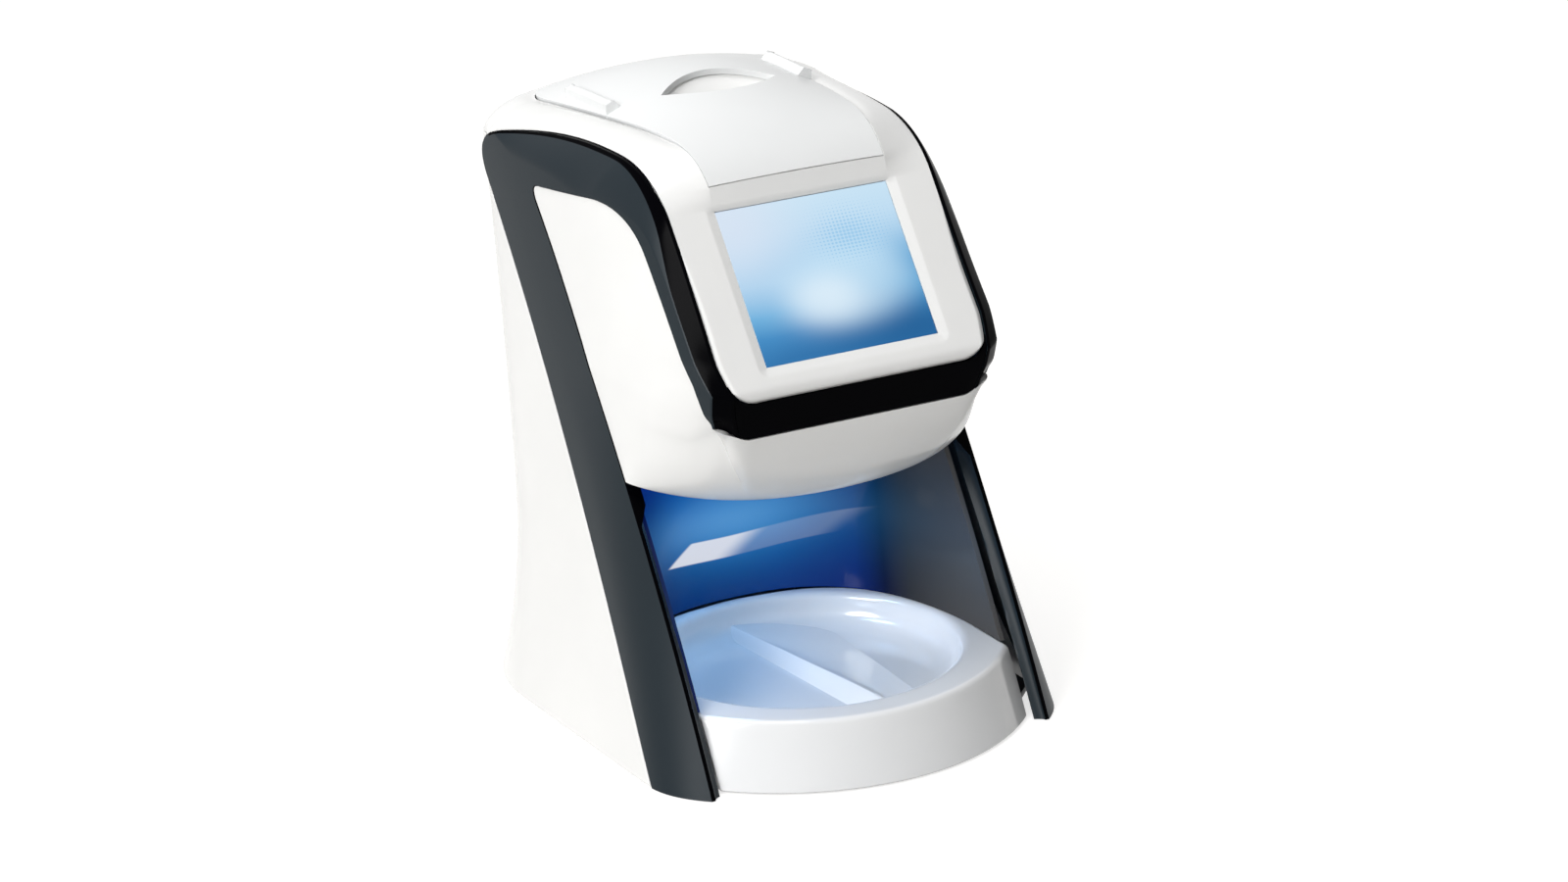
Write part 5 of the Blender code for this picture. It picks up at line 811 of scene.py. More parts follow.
VALLEY_RUN = 0.0045
DISH_DEPTH = 0.0010
DISH_RUN = 0.0041
FACE_EDGE_DEPTH = 0.0011
FACE_EDGE_RUN = 0.0020
FACE_EDGE_FADE_RUN = 0.045
FACE_EDGE_FADE = 1.2
TIP_FACING = -0.16
SEAM_OVER_STEPS = 600
SEAM_DOWN_STEPS = 200
SEAM_SMOOTHING = 4
REAR_STATIONS = 40
SHOULDER_COLUMNS = 45
SCREEN_ROWS = 32
SCREEN_COLUMNS = 40


def crest_at(y):
    """Height of the roof along its middle: it falls to the front by a square law mixed with a high power,
    and to the rear by a square law."""
    ahead = np.clip((CREST_TOP_Y - y) / (CREST_TOP_Y - LID_FRONT_Y), 0, 1)
    behind = np.clip((y - CREST_TOP_Y) / (LID_REAR_Y - CREST_TOP_Y), 0, 1)
    fall = CREST_ROUND_SHARE * ahead ** 2 + (1 - CREST_ROUND_SHARE) * ahead ** CREST_FRONT_EXPONENT
    return RAIL_CREST_Z + CREST_RISE - CREST_FRONT_DROP * fall - CREST_REAR_DROP * behind ** 2


def joint_at(y):
    """Points of the joint beside the lid: power laws for its width and its height along the side, and an
    elliptical corner at the rear."""
    share = np.clip((y - LID_FRONT_Y) / (LID_CORNER_Y - LID_FRONT_Y), 0, 1) ** LID_SIDE_EXPONENT
    side = LID_FRONT_HALF_WIDTH + (LID_CORNER_HALF_WIDTH - LID_FRONT_HALF_WIDTH) * share
    corner = np.clip((y - LID_CORNER_Y) / (LID_REAR_Y - LID_CORNER_Y), 0, 1)
    round_corner = LID_REAR_HALF_WIDTH + (side - LID_REAR_HALF_WIDTH) * np.sqrt(1 - corner ** 2)
    x = np.where(corner > 0, round_corner, side)
    ahead = np.clip((JOINT_TOP_Y - y) / (JOINT_TOP_Y - LID_FRONT_Y), 0, 1) ** JOINT_FRONT_EXPONENT
    behind = np.clip((y - JOINT_TOP_Y) / (LID_CORNER_Y - JOINT_TOP_Y), 0, 1) ** JOINT_REAR_EXPONENT
    z = RAIL_CREST_Z + JOINT_RISE - JOINT_FRONT_DROP * ahead - JOINT_REAR_DROP * behind
    return np.stack([x, y, z], axis=1)


fold_z = RAIL_CREST_Z + CREST_RISE - CREST_FRONT_DROP - STRIP_HEIGHT
fold_y = face_y(fold_z)
side_y = np.linspace(LID_FRONT_Y, LID_CORNER_Y, SIDE_ROWS + 1)
corner_y = LID_CORNER_Y + (LID_REAR_Y - LID_CORNER_Y) * np.sin(np.linspace(0, math.pi / 2, CORNER_ROWS + 1))
lid_line_y = np.r_[side_y[:-1], corner_y]
lid_joint = joint_at(lid_line_y)
strip_joint = straight((LID_FRONT_HALF_WIDTH, fold_y, fold_z), lid_joint[0], STRIP_ROWS)
strip_crest = straight((fold_y, fold_z), (LID_FRONT_Y, crest_at(LID_FRONT_Y)), STRIP_ROWS)


def seam_path(fineness):
    """Right seam of the roof in side view, in two parts: over the rail, then down round the rear corner."""
    turn, _, _ = outer_front_path(fineness)
    _, rear_turn = outer_rear_path(fineness)
    rear = rear_turn[rear_turn[:, 1] > REAR_SEAM_Z][::-1]
    low = rear_turn[rear_turn[:, 1] <= REAR_SEAM_Z][-1]
    share = (REAR_SEAM_Z - rear[-1][1]) / (low[1] - rear[-1][1])
    end = rear[-1] + (low - rear[-1]) * share
    rail_y = np.linspace(turn[0][0], rear[0][0], 9 * fineness)
    rail = np.stack([rail_y, rail_z(rail_y)], axis=1)
    front = turn[::-1][1:]
    front = front[front[:, 0] > fold_y]
    path = np.vstack([[(fold_y, fold_z)], front, rail[1:-1], rear, [end]])
    outward = offset(path, GAP)
    outward[0] = fold_y, fold_z
    return outward[:-len(rear)], outward[-len(rear) - 1:]


over, down = seam_path(FINENESS)
over, down = resample(over, SEAM_OVER_STEPS), resample(down, SEAM_DOWN_STEPS)
joint_fine = np.vstack([strip_joint, lid_joint[1:SIDE_ROWS + 1]])
run = np.r_[0, np.cumsum(np.linalg.norm(np.diff(joint_fine[:, 1:], axis=0), axis=1))]
top_run = np.interp(CREST_TOP_Y, joint_fine[:, 1], run)
beyond = np.clip((joint_fine[:, 1] - CREST_TOP_Y) / (LID_CORNER_Y - CREST_TOP_Y), 0, 1)
place = np.clip(run / top_run, 0, 1) * SEAM_OVER_STEPS + SEAM_DOWN_STEPS * (1 - (1 - beyond) ** 0.7)
window = 2 * SEAM_SMOOTHING + 1
for _ in range(2):
    place[SEAM_SMOOTHING:-SEAM_SMOOTHING] = np.convolve(place, np.ones(window) / window, "valid")
seam_yz = np.vstack([over, down[1:]])
seam_y = np.interp(place, np.arange(len(seam_yz)), seam_yz[:, 0])
seam_z = np.interp(place, np.arange(len(seam_yz)), seam_yz[:, 1])
seam = np.stack([half_width(seam_y, seam_z) - rail_inset(seam_y), seam_y, seam_z], axis=1)

level = seam[-1, 2]
around = rear_outline(level, float(seam[-1, 1]), RAIL_INSET_REAR, REAR_STATIONS)[1:]
around = np.column_stack([around, np.full(len(around), level)])
rear_share = np.linspace(1, 0, REAR_STATIONS - CORNER_ROWS + 1)[1:]
lid_rear_z = float(crest_at(LID_REAR_Y))
rear_edge = np.stack([LID_REAR_HALF_WIDTH * rear_share, 0 * rear_share + LID_REAR_Y,
                      lid_rear_z + (lid_joint[-1, 2] - lid_rear_z) * rear_share ** 2], axis=1)
corner_rows = np.vstack([lid_joint[SIDE_ROWS + 1:], rear_edge])

seam_line = np.vstack([seam, around])
joint_line = np.vstack([joint_fine, corner_rows])
steps = np.arange(len(seam_line))
begin, full = STRIP_ROWS + 6, STRIP_ROWS + 18
lowered = np.clip((steps - begin) / (full - begin), 0, 1) * np.clip((len(steps) - 20 - steps) / 16, 0, 1)
lowered = LID_STEP * lowered * lowered * (3 - 2 * lowered)
hood_joint = joint_line.copy()
hood_joint[:, 2] -= lowered
shoulder_share = 0.5 - 0.5 * np.cos(np.linspace(0, math.pi, SHOULDER_COLUMNS))


def shoulder(seam, joint):
    """Section of the shoulder: straight in plan from the seam to the joint, rising by a superellipse, with a
    soft valley just before the joint, a bell curve over the distance from it."""
    share = shoulder_share[None, :, None]
    rise = (1 - (1 - share) ** SHOULDER_EXPONENT) ** (1 / SHOULDER_EXPONENT)
    points = seam[:, None, :] + (joint - seam)[:, None, :] * share
    points[..., 2] = seam[:, None, 2] + (joint - seam)[:, None, 2] * rise[..., 0]
    left = np.linalg.norm(joint[:, None, :2] - points[..., :2], axis=-1)
    points[..., 2] -= VALLEY_DEPTH * lowered[:, None] / LID_STEP * np.exp(-(left / VALLEY_RUN) ** 2)
    return points


section = shoulder(seam_line, hood_joint)
open_low = SCREEN_LOW - GAP
open_top = SCREEN_LOW + SCREEN_HEIGHT + GAP
open_half = SCREEN_WIDTH / 2 + GAP
slope_top = (fold_z - FACE_LOW_Z) / math.cos(FACE_ANGLE)
low_slopes = -FACE_OVERLAP + (open_low + FACE_OVERLAP) * (0.5 - 0.5 * np.cos(np.linspace(0, math.pi, 25)))
slopes = np.r_[low_slopes, np.linspace(open_low, open_top, SCREEN_ROWS + 1)[1:], slope_top]
middle_x = np.r_[np.linspace(-LID_FRONT_HALF_WIDTH, -open_half, 3),
                 np.linspace(-open_half, open_half, SCREEN_COLUMNS + 1)[1:],
                 np.linspace(open_half, LID_FRONT_HALF_WIDTH, 3)[1:]]
hood_rows = []
for slope in slopes[:-1]:
    edge = float(face_half(slope))
    lateral = edge + (LID_FRONT_HALF_WIDTH - edge) * shoulder_share
    x = np.r_[-lateral, middle_x[1:-1], lateral[::-1]]
    inwards = np.abs(edge - np.abs(x))
    rise = bezel_rise(inwards) * np.clip(1 - (slope + FACE_OVERLAP) / (2 * BEZEL_CORNER), 0, 1)
    lifted = slope + rise
    left, right = lifted[:SHOULDER_COLUMNS], lifted[-SHOULDER_COLUMNS:]
    x[:SHOULDER_COLUMNS] -= (face_half(left) - edge) * (1 - shoulder_share)
    x[-SHOULDER_COLUMNS:] += (face_half(right) - edge) * (1 - shoulder_share[::-1])
    beyond_y = max(open_low - slope, slope - open_top, 0)
    beyond = np.hypot(np.clip(np.abs(x) - open_half, 0, None), beyond_y)
    sunk = DISH_DEPTH * np.clip(1 - beyond / DISH_RUN, 0, 1)
    near_top = np.clip(1 - (slope_top - slope) / FACE_EDGE_FADE_RUN, 0, 1)
    from_side = inwards / FACE_EDGE_RUN + FACE_EDGE_FADE * near_top ** 2 * (3 - 2 * near_top)
    from_low = (slope + FACE_OVERLAP) / FACE_EDGE_RUN
    sunk += FACE_EDGE_DEPTH * np.maximum(roll(from_side, 1), roll(from_low, 1))
    tip = np.clip((FOLD_ROUND - lifted) / (FOLD_ROUND + FACE_OVERLAP), 0, 1)
    facing = FACE_ANGLE * (1 - tip) + TIP_FACING * tip
    place_y, place_z = face_curve(lifted)
    hood_rows.append(np.stack([x, place_y + sunk * np.cos(facing), place_z - sunk * np.sin(facing)], axis=1))
for k in range(STRIP_ROWS + 1):
    share = middle_x[1:-1] / LID_FRONT_HALF_WIDTH
    bow = share[:, None] ** 2
    centre = strip_crest[k] + (joint_fine[k, 1:] - strip_crest[k]) * bow
    centre = np.column_stack([share * joint_fine[k, 0], centre])
    hood_rows.append(np.vstack([section[k] * [-1, 1, 1], centre, section[k][::-1]]))
front_rows = len(hood_rows)
across_count = hood_rows[0].shape[0]
front_quads = grid_quads(front_rows, across_count)
quad_row, quad_column = np.divmod(np.arange(len(front_quads)), across_count - 1)
first_column = SHOULDER_COLUMNS + 1
screen_row = len(low_slopes) - 1
in_screen = ((quad_row >= screen_row) & (quad_row < screen_row + SCREEN_ROWS)
             & (quad_column >= first_column) & (quad_column < first_column + SCREEN_COLUMNS))
ring = np.concatenate([section[STRIP_ROWS + 1:], (section[STRIP_ROWS + 1:-1] * [-1, 1, 1])[::-1]])
ring_start = front_rows * across_count
last = (front_rows - 1) * across_count
line_right = last + across_count - 1 - np.arange(SHOULDER_COLUMNS)
line_left = last + np.arange(SHOULDER_COLUMNS)
ring_index = ring_start + np.arange(len(ring) * SHOULDER_COLUMNS).reshape(len(ring), SHOULDER_COLUMNS)
ring_index = np.vstack([line_right, ring_index, line_left])
ring_quads = np.stack([ring_index[:-1, 1:], ring_index[:-1, :-1], ring_index[1:, :-1], ring_index[1:, 1:]],
                      axis=-1).reshape(-1, 4)
hood_points = np.vstack(hood_rows + [ring.reshape(-1, 3)])
hood_quads = np.vstack([front_quads[~in_screen], ring_quads])
hood_normals = skin_normals(hood_points, hood_quads)
points, faces = solid_from(hood_points, hood_points - SHELL_WALL * hood_normals, hood_quads)
hood = make_piece("front_hood_skin", points, faces, white_gloss, "housing", rim=0.0003)
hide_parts("front_hood")


# Lid. Satin white moulding, 2.5 mm thick, domed, with the eye-shaped loading opening. It lifts off by the two
# finger tabs, which are moulded on.

EYE_HALF_LENGTH = 0.0260
EYE_HALF_WIDTH = 0.0115
EYE_Y = 0.038

white_satin = plastic("white_satin_lid", (0.78, 0.79, 0.79), 0.38, coat=0.1, grain=0.06)


def lid_height(x, y):
    """Height of the lid's dome: a parabola across, from the crest's height to the joint line's."""
    top = crest_at(y)
    edge = np.interp(y, lid_joint[:, 1], lid_joint[:, 2])
    half = np.interp(y, lid_joint[:, 1], lid_joint[:, 0])
    return top + (edge - top) * np.clip(np.abs(x) / half, 0, 1.05) ** 2


side_line = lid_joint[:, :2].copy()
side_line[:, 0] -= GAP
side_line[0, 1] += GAP
side_line[-1, 1] -= GAP
half_outline = np.vstack([straight((0, side_line[0, 1]), side_line[0], 30)[:-1], side_line,
                          straight(side_line[-1], (0, side_line[-1, 1]), 30)[1:]])
outline_angle = np.arctan2(half_outline[:, 1] - EYE_Y, half_outline[:, 0])
outline_radius = np.hypot(half_outline[:, 1] - EYE_Y, half_outline[:, 0])
front_corner = math.atan2(side_line[0, 1] - EYE_Y, side_line[0, 0])
half_angles = np.unique(np.r_[np.linspace(-math.pi / 2, math.pi / 2, 121), front_corner, 0.0])
eye_t = np.linspace(-1, 1, 801)
eye_path = np.stack([EYE_HALF_LENGTH * (1 - np.abs(eye_t)), np.sign(eye_t) * EYE_HALF_WIDTH
                     * (1 - (1 - np.abs(eye_t)) ** 2)], axis=1)
eye_angle = np.arctan2(eye_path[:, 1], eye_path[:, 0])
eye_radius = np.hypot(eye_path[:, 1], eye_path[:, 0])
angles = np.r_[half_angles, math.pi - half_angles[-2:0:-1]]
folded = np.r_[half_angles, half_angles[-2:0:-1]]
reach = np.interp(folded, outline_angle, outline_radius)
eye_reach = np.interp(folded, eye_angle, eye_radius)
stations = np.r_[0, 0.008, 0.02, np.linspace(0.045, 0.97, 34), 0.985, 0.994, 1]
radius = eye_reach[None, :] + (reach - eye_reach)[None, :] * stations[:, None]
lid_x = radius * np.cos(angles)
lid_y = EYE_Y + radius * np.sin(angles)
lid_grid = np.stack([lid_x, lid_y, lid_height(lid_x, lid_y)], axis=-1)
lid_quads = grid_quads(len(stations), len(angles), closed=True)
lid_points = lid_grid.reshape(-1, 3)
lid_normals = skin_normals(lid_points, lid_quads)
lid_normals *= np.sign(lid_normals[:, 2:])
points, faces = solid_from(lid_points, lid_points - SHELL_WALL * lid_normals, lid_quads)
lid = make_piece("top_cover_skin", points, faces, white_satin, "cover", rim=0.00035)
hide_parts("top_cover")

# Finger tabs: a plain section, upright outside and sloping inside, carried along the lid's side.
TAB_NEAR_Y = 0.0447
TAB_FAR_Y = 0.0757
TAB_NEAR_X = 0.0462
TAB_FAR_X = 0.0474
TAB_HEIGHT = 0.0040
TAB_ROUND = 0.0012
TAB_END_RISE = 0.86
TAB_SECTION = ((0.0, -0.0012), (0.0, 0.0), (0.0001, 1.0), (-0.0026, 1.0), (-0.0048, 0.12), (-0.0050, -0.0012))
section_x, section_rise = np.array(TAB_SECTION).T
tab_y = np.r_[TAB_NEAR_Y, np.linspace(TAB_NEAR_Y + TAB_ROUND, TAB_FAR_Y - TAB_ROUND, 21), TAB_FAR_Y]
end_drop = np.r_[TAB_END_RISE, np.ones(len(tab_y) - 2), TAB_END_RISE]
tab_x = np.interp(tab_y, (TAB_NEAR_Y, TAB_FAR_Y), (TAB_NEAR_X, TAB_FAR_X))[:, None] + section_x
tab_rise = np.where(section_rise > 0, section_rise * TAB_HEIGHT * end_drop[:, None], section_rise)
for side, name in ((-1, "left"), (1, "right")):
    y = np.broadcast_to(tab_y[:, None], tab_x.shape)
    grid = np.stack([side * tab_x, y, lid_height(tab_x, y) + tab_rise], axis=-1)
    rows_count, columns_count = grid.shape[:2]
    faces = grid_quads(rows_count, columns_count, closed=True).tolist()
    faces += [list(range(columns_count)), list(range(rows_count * columns_count - 1,
                                                     (rows_count - 1) * columns_count - 1, -1))]
    faces = faces if side > 0 else [face[::-1] for face in faces]
    tab = make_piece("cover_tab_" + name, grid.reshape(-1, 3), faces, white_satin, "cover", rim=0.0007,
                     sharp=28)

# Loading funnel: the gloss white guide under the eye. Its walls fall straight from the eye to the slot, and
# a chute goes on below it.
FUNNEL_FLOOR_Z = 0.2330
SLOT_HALF_LENGTH = 0.0205
SLOT_HALF_WIDTH = 0.0023
SLOT_SET_BACK = 0.003
SLOT_EXPONENT = 0.6
CHUTE_DEPTHS = (0.004, 0.010, 0.018, 0.026)
CHUTE_SLANT = 0.74
FUNNEL_CLEARANCE = 0.0012
FUNNEL_WALL = 0.0018
funnel_angles = np.linspace(0, 2 * math.pi, 145)[:-1]
folded = np.arcsin(np.clip(np.sin(funnel_angles), -1, 1))
mouth = np.interp(folded, eye_angle, eye_radius) + FUNNEL_CLEARANCE
mouth_x, mouth_y = mouth * np.cos(funnel_angles), EYE_Y + mouth * np.sin(funnel_angles)
slot_turn = np.cos(funnel_angles)
slot_x = SLOT_HALF_LENGTH * np.sign(slot_turn) * np.abs(slot_turn) ** SLOT_EXPONENT
slot_y = EYE_Y - SLOT_SET_BACK + SLOT_HALF_WIDTH * np.sin(funnel_angles)
funnel_top = lid_height(mouth_x, mouth_y) - SHELL_WALL - GAP
funnel_rows = []
for share in np.linspace(0, 1, 12):
    x = mouth_x + (slot_x - mouth_x) * share
    y = mouth_y + (slot_y - mouth_y) * share
    funnel_rows.append(np.stack([x, y, funnel_top + (FUNNEL_FLOOR_Z - funnel_top) * share], axis=1))
for depth in CHUTE_DEPTHS:
    level = np.full_like(slot_x, FUNNEL_FLOOR_Z - depth)
    funnel_rows.append(np.stack([slot_x, slot_y - depth * CHUTE_SLANT, level], axis=1))
funnel_points = np.vstack(funnel_rows)
funnel_quads = grid_quads(len(funnel_rows), len(funnel_angles), closed=True)
outward = skin_normals(funnel_points, funnel_quads)
points, faces = solid_from(funnel_points, funnel_points + FUNNEL_WALL * outward, funnel_quads)
funnel = make_piece("loading_funnel", points, faces, white_gloss, "housing")
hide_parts("loading_slot_guide")


# Screen. A flat pane of glass over a bright display, set a millimetre into the bezel. The display shows a
# plain blue design: pale above, deep blue below, a few soft glows and a patch of fine dots.

GLASS_RECESS = 0.0010
GLASS_THICKNESS = 0.0012
PANE_ROWS = 21
PANE_COLUMNS = 25
GLOW_BASE = 2.718


def laid_over(tree, below, colour, amount):
    """A colour laid over what is below it, by an amount from zero to one."""
    mix = add(tree, "ShaderNodeMix", {"A": below, "B": (*colour, 1), "Factor": amount}, data_type="RGBA")
    return mix.outputs["Result"]


def colour_ramp(tree, value, stops):
    """Colours over a value from zero to one, given as stops: a position and a colour each."""
    ramp = add(tree, "ShaderNodeValToRGB", {"Fac": value})
    ramp.color_ramp.elements[0].color = (*stops[0][1], 1)
    ramp.color_ramp.elements[1].color = (*stops[-1][1], 1)
    for position, colour in stops[1:-1]:
        ramp.color_ramp.elements.new(position).color = (*colour, 1)
    return ramp.outputs["Color"]


def glow(tree, across, up, place, size, firm=1.0):
    """A soft bell over two numbers: e to the power of minus the squared distance from its place, measured in
    its own two sizes. A firm one raises that square to a power first, which flattens the top."""
    square = 0.0
    for value, middle, reach in zip((across, up), place, size):
        part = number(tree, "DIVIDE", number(tree, "SUBTRACT", value, middle), reach)
        square = number(tree, "ADD", square, number(tree, "MULTIPLY", part, part))
    fall = number(tree, "MULTIPLY", number(tree, "POWER", square, firm), -1.0)
    return number(tree, "POWER", GLOW_BASE, fall)


def screen_picture():
    """The display's picture on the pane's own UV: a vertical colour ramp, tilted a little, five soft glows,
    and dots whose size fades away from the middle of their patch."""
    made, tree, surface = new_material("screen_glass_lit", {
        "Base Color": (0.015, 0.020, 0.030, 1), "Emission Strength": 0.96, "Roughness": 0.08,
        "Specular IOR Level": 0.06})
    uv = add(tree, "ShaderNodeUVMap", uv_map="pane").outputs["UV"]
    split = add(tree, "ShaderNodeSeparateXYZ", {"Vector": uv}).outputs
    wave = add(tree, "ShaderNodeTexNoise", {"Vector": uv, "Scale": 2.2, "Detail": 1.0}).outputs["Fac"]
    tilted = number(tree, "ADD", split["Y"], number(tree, "MULTIPLY", split["X"], -0.06))
    waved = number(tree, "MULTIPLY", number(tree, "SUBTRACT", wave, 0.5), 0.16)
    picture = colour_ramp(tree, number(tree, "ADD", tilted, waved), (
        (0.0, (0.018, 0.17, 0.42)), (0.15, (0.035, 0.25, 0.55)), (0.30, (0.12, 0.42, 0.72)),
        (0.50, (0.38, 0.63, 0.85)), (0.78, (0.54, 0.74, 0.90)), (1.0, (0.60, 0.79, 0.92))))
    for colour, place, size, firm, amount in (
            ((0.002, 0.105, 0.30), (0.90, 0.08), (0.50, 0.20), 1.0, 0.95),
            ((0.06, 0.32, 0.61), (1.04, 0.45), (0.20, 0.20), 1.0, 0.85),
            ((0.74, 0.79, 0.90), (0.05, 0.92), (0.35, 0.40), 1.0, 0.65),
            ((0.62, 0.82, 0.95), (0.62, 0.42), (0.36, 0.26), 2.0, 0.60),
            ((0.86, 0.95, 1.0), (0.45, 0.34), (0.24, 0.17), 1.3, 0.62)):
        light = glow(tree, split["X"], split["Y"], place, size, firm)
        picture = laid_over(tree, picture, colour, number(tree, "MULTIPLY", light, amount))
    dots = add(tree, "ShaderNodeTexVoronoi", {"Vector": uv, "Scale": 46.0, "Randomness": 0.0})
    patch = glow(tree, split["X"], split["Y"], (0.70, 0.72), (0.22, 0.17))
    dot = number(tree, "LESS_THAN", dots.outputs["Distance"], number(tree, "MULTIPLY", patch, 0.42))
    picture = laid_over(tree, picture, (0.22, 0.52, 0.80), number(tree, "MULTIPLY", dot, 0.55))
    tree.links.new(picture, surface.inputs["Emission Color"])
    return made


def on_face_plane(x, up, depth):
    """A place on the sloping face: across, up the slope from its lower edge, and in behind it."""
    y = FACE_LOW_Y + up * math.sin(FACE_ANGLE) + depth * math.cos(FACE_ANGLE)
    z = FACE_LOW_Z + up * math.cos(FACE_ANGLE) - depth * math.sin(FACE_ANGLE)
    return np.stack(np.broadcast_arrays(x, y, z), axis=-1)


pane_u, pane_v = np.meshgrid(np.linspace(0, 1, PANE_COLUMNS), np.linspace(0, 1, PANE_ROWS))
pane_x = (pane_u - 0.5) * SCREEN_WIDTH
pane_up = SCREEN_LOW + pane_v * SCREEN_HEIGHT
outer = on_face_plane(pane_x, pane_up, GLASS_RECESS).reshape(-1, 3)
inner = on_face_plane(pane_x, pane_up, GLASS_RECESS + GLASS_THICKNESS).reshape(-1, 3)
points, faces = solid_from(outer, inner, grid_quads(PANE_ROWS, PANE_COLUMNS))
pane = make_piece("screen_pane", points, faces, screen_picture(), "housing", rim=0.0002)
pane_uv = np.tile(np.stack([pane_u.ravel(), pane_v.ravel()], axis=1), (2, 1))
layer = pane.data.uv_layers.new(name="pane")
corners = np.zeros(len(pane.data.loops), dtype=np.int32)
pane.data.loops.foreach_get("vertex_index", corners)
layer.data.foreach_set("uv", pane_uv[corners].ravel())
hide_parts("touch_glass")


# Cavity liner. A deep blue gloss moulding that wraps the space over the tray and coves forward into the
# ceiling. The light of the lamp behind its lens is painted on it as glow, brightest on the left.

LINER_HALF_WIDTH = 0.069
LINER_FRONT_SET = 0.0088
LINER_BACK_Y = 0.0297
LINER_WALL = 0.0022
LINER_BOTTOM_Z = 0.0274
LINER_EXPONENT = 2.6
CEILING_Z = 0.112
COVE_RADIUS = 0.008
LINER_COLUMNS = 121
PAINTED_REFLECTION_BEND = 2.44
PAINTED_REFLECTION_LEVEL_Z = 0.0502
PAINTED_REFLECTION_TILT = 0.015
PAINTED_REFLECTION_END_SLANT = 1.38


def blue_with_painted_light():
    """Blue gloss plastic with its lamp's light painted on, in Object coordinates. A ramp over x from dark
    grey at the right to blue gives the colour and also glows as painted light; two soft bells of painted
    light lie over it, and a painted reflection in the gloss, a slanting parabolic band."""
    made = plastic("cavity_blue_painted_light", (0.010, 0.045, 0.17), 0.10, specular=0.12, grain=0.005)
    tree = made.node_tree
    surface = tree.nodes["Principled BSDF"]
    surface.inputs["Emission Strength"].default_value = 0.75
    where = add(tree, "ShaderNodeTexCoord").outputs["Object"]
    split = add(tree, "ShaderNodeSeparateXYZ", {"Vector": where}).outputs
    x, z = split["X"], split["Z"]

    def step(value, start, end):
        return add(tree, "ShaderNodeMapRange", {"Value": value, "From Min": start, "From Max": end},
                   interpolation_type="SMOOTHSTEP").outputs["Result"]

    # The ramp sets the colour and, through the glow, is also painted light: dark grey at the right end,
    # deepest blue near the middle.
    along = add(tree, "ShaderNodeMapRange", {"Value": x, "From Min": 0.070, "From Max": -0.040})
    wall = colour_ramp(tree, along.outputs["Result"], (
        (0.0, (0.040, 0.039, 0.038)), (0.07, (0.018, 0.018, 0.019)), (0.12, (0.002, 0.003, 0.018)),
        (0.19, (0.002, 0.010, 0.085)), (0.45, (0.002, 0.020, 0.12)), (0.85, (0.001, 0.018, 0.10)),
        (1.0, (0.001, 0.006, 0.055))))
    painted_glow = wall
    # Two soft bells of painted lamp light, low on the wall near the middle.
    for colour, place, size, amount in (((0.010, 0.24, 0.60), (0.004, 0.062), (0.040, 0.021), 0.90),
                                        ((0.20, 0.50, 0.80), (0.0, 0.062), (0.036, 0.010), 0.45)):
        light = glow(tree, x, z, place, size)
        painted_glow = laid_over(tree, painted_glow, colour, number(tree, "MULTIPLY", light, amount))
    # A painted reflection: a bright band round a parabola over x, slanting, cut off at the left and fading to
    # the right.
    middle = number(tree, "MULTIPLY_ADD", number(tree, "MULTIPLY", x, x), PAINTED_REFLECTION_BEND, PAINTED_REFLECTION_LEVEL_Z)
    above = number(tree, "SUBTRACT", z, middle)
    off_line = number(tree, "SUBTRACT", above, number(tree, "MULTIPLY", x, PAINTED_REFLECTION_TILT))
    slanted = number(tree, "SUBTRACT", x, number(tree, "MULTIPLY", off_line, PAINTED_REFLECTION_END_SLANT))
    height = number(tree, "ABSOLUTE", off_line)
    painted_reflection = number(tree, "MULTIPLY", step(height, 0.0048, 0.0041), step(slanted, -0.0262, -0.0240))
    fade = number(tree, "ADD", number(tree, "MULTIPLY", step(slanted, 0.013, -0.004), 0.74),
                  number(tree, "MULTIPLY", step(slanted, 0.052, 0.040), 0.13))
    painted_glow = laid_over(tree, painted_glow, (0.98, 1.0, 1.0), number(tree, "MULTIPLY", painted_reflection, fade))
    tree.links.new(wall, surface.inputs["Base Color"])
    tree.links.new(painted_glow, surface.inputs["Emission Color"])
    return made


def liner_curve(half, front, back, exponent, angles):
    """Plan of the cavity wall: a superellipse from one leg round the back to the other."""
    x = half * np.sign(np.sin(angles)) * np.abs(np.sin(angles)) ** (2 / exponent)
    return x, front + (back - front) * np.abs(np.cos(angles)) ** (2 / exponent)


blue = blue_with_painted_light()
liner_angles = np.linspace(-math.pi / 2, math.pi / 2, LINER_COLUMNS)
cove_z = CEILING_Z - COVE_RADIUS
liner_levels = [(z, 0.0, 0.0) for z in np.linspace(LINER_BOTTOM_Z, cove_z, 24)]
liner_levels += [(cove_z + COVE_RADIUS * math.sin(t), COVE_RADIUS * (1 - math.cos(t)), t)
                 for t in np.linspace(0, math.pi / 2, 13)[1:]]
liner_skins = []
for wall in (0.0, LINER_WALL):
    rows_made = []
    for z, inset, turn in liner_levels:
        x, y = liner_curve(LINER_HALF_WIDTH + wall, leg_front_y(z) + LINER_FRONT_SET,
                           LINER_BACK_Y - inset + wall * math.cos(turn), LINER_EXPONENT, liner_angles)
        rows_made.append(np.stack([x, y, np.full_like(x, z + wall * math.sin(turn))], axis=1))
    liner_skins.append(np.vstack(rows_made))
points, faces = solid_from(*liner_skins, grid_quads(len(liner_levels), LINER_COLUMNS))
liner = make_piece("cavity_liner_skin", points, faces, blue, "housing", rim=0.0004)
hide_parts("cavity_liner")

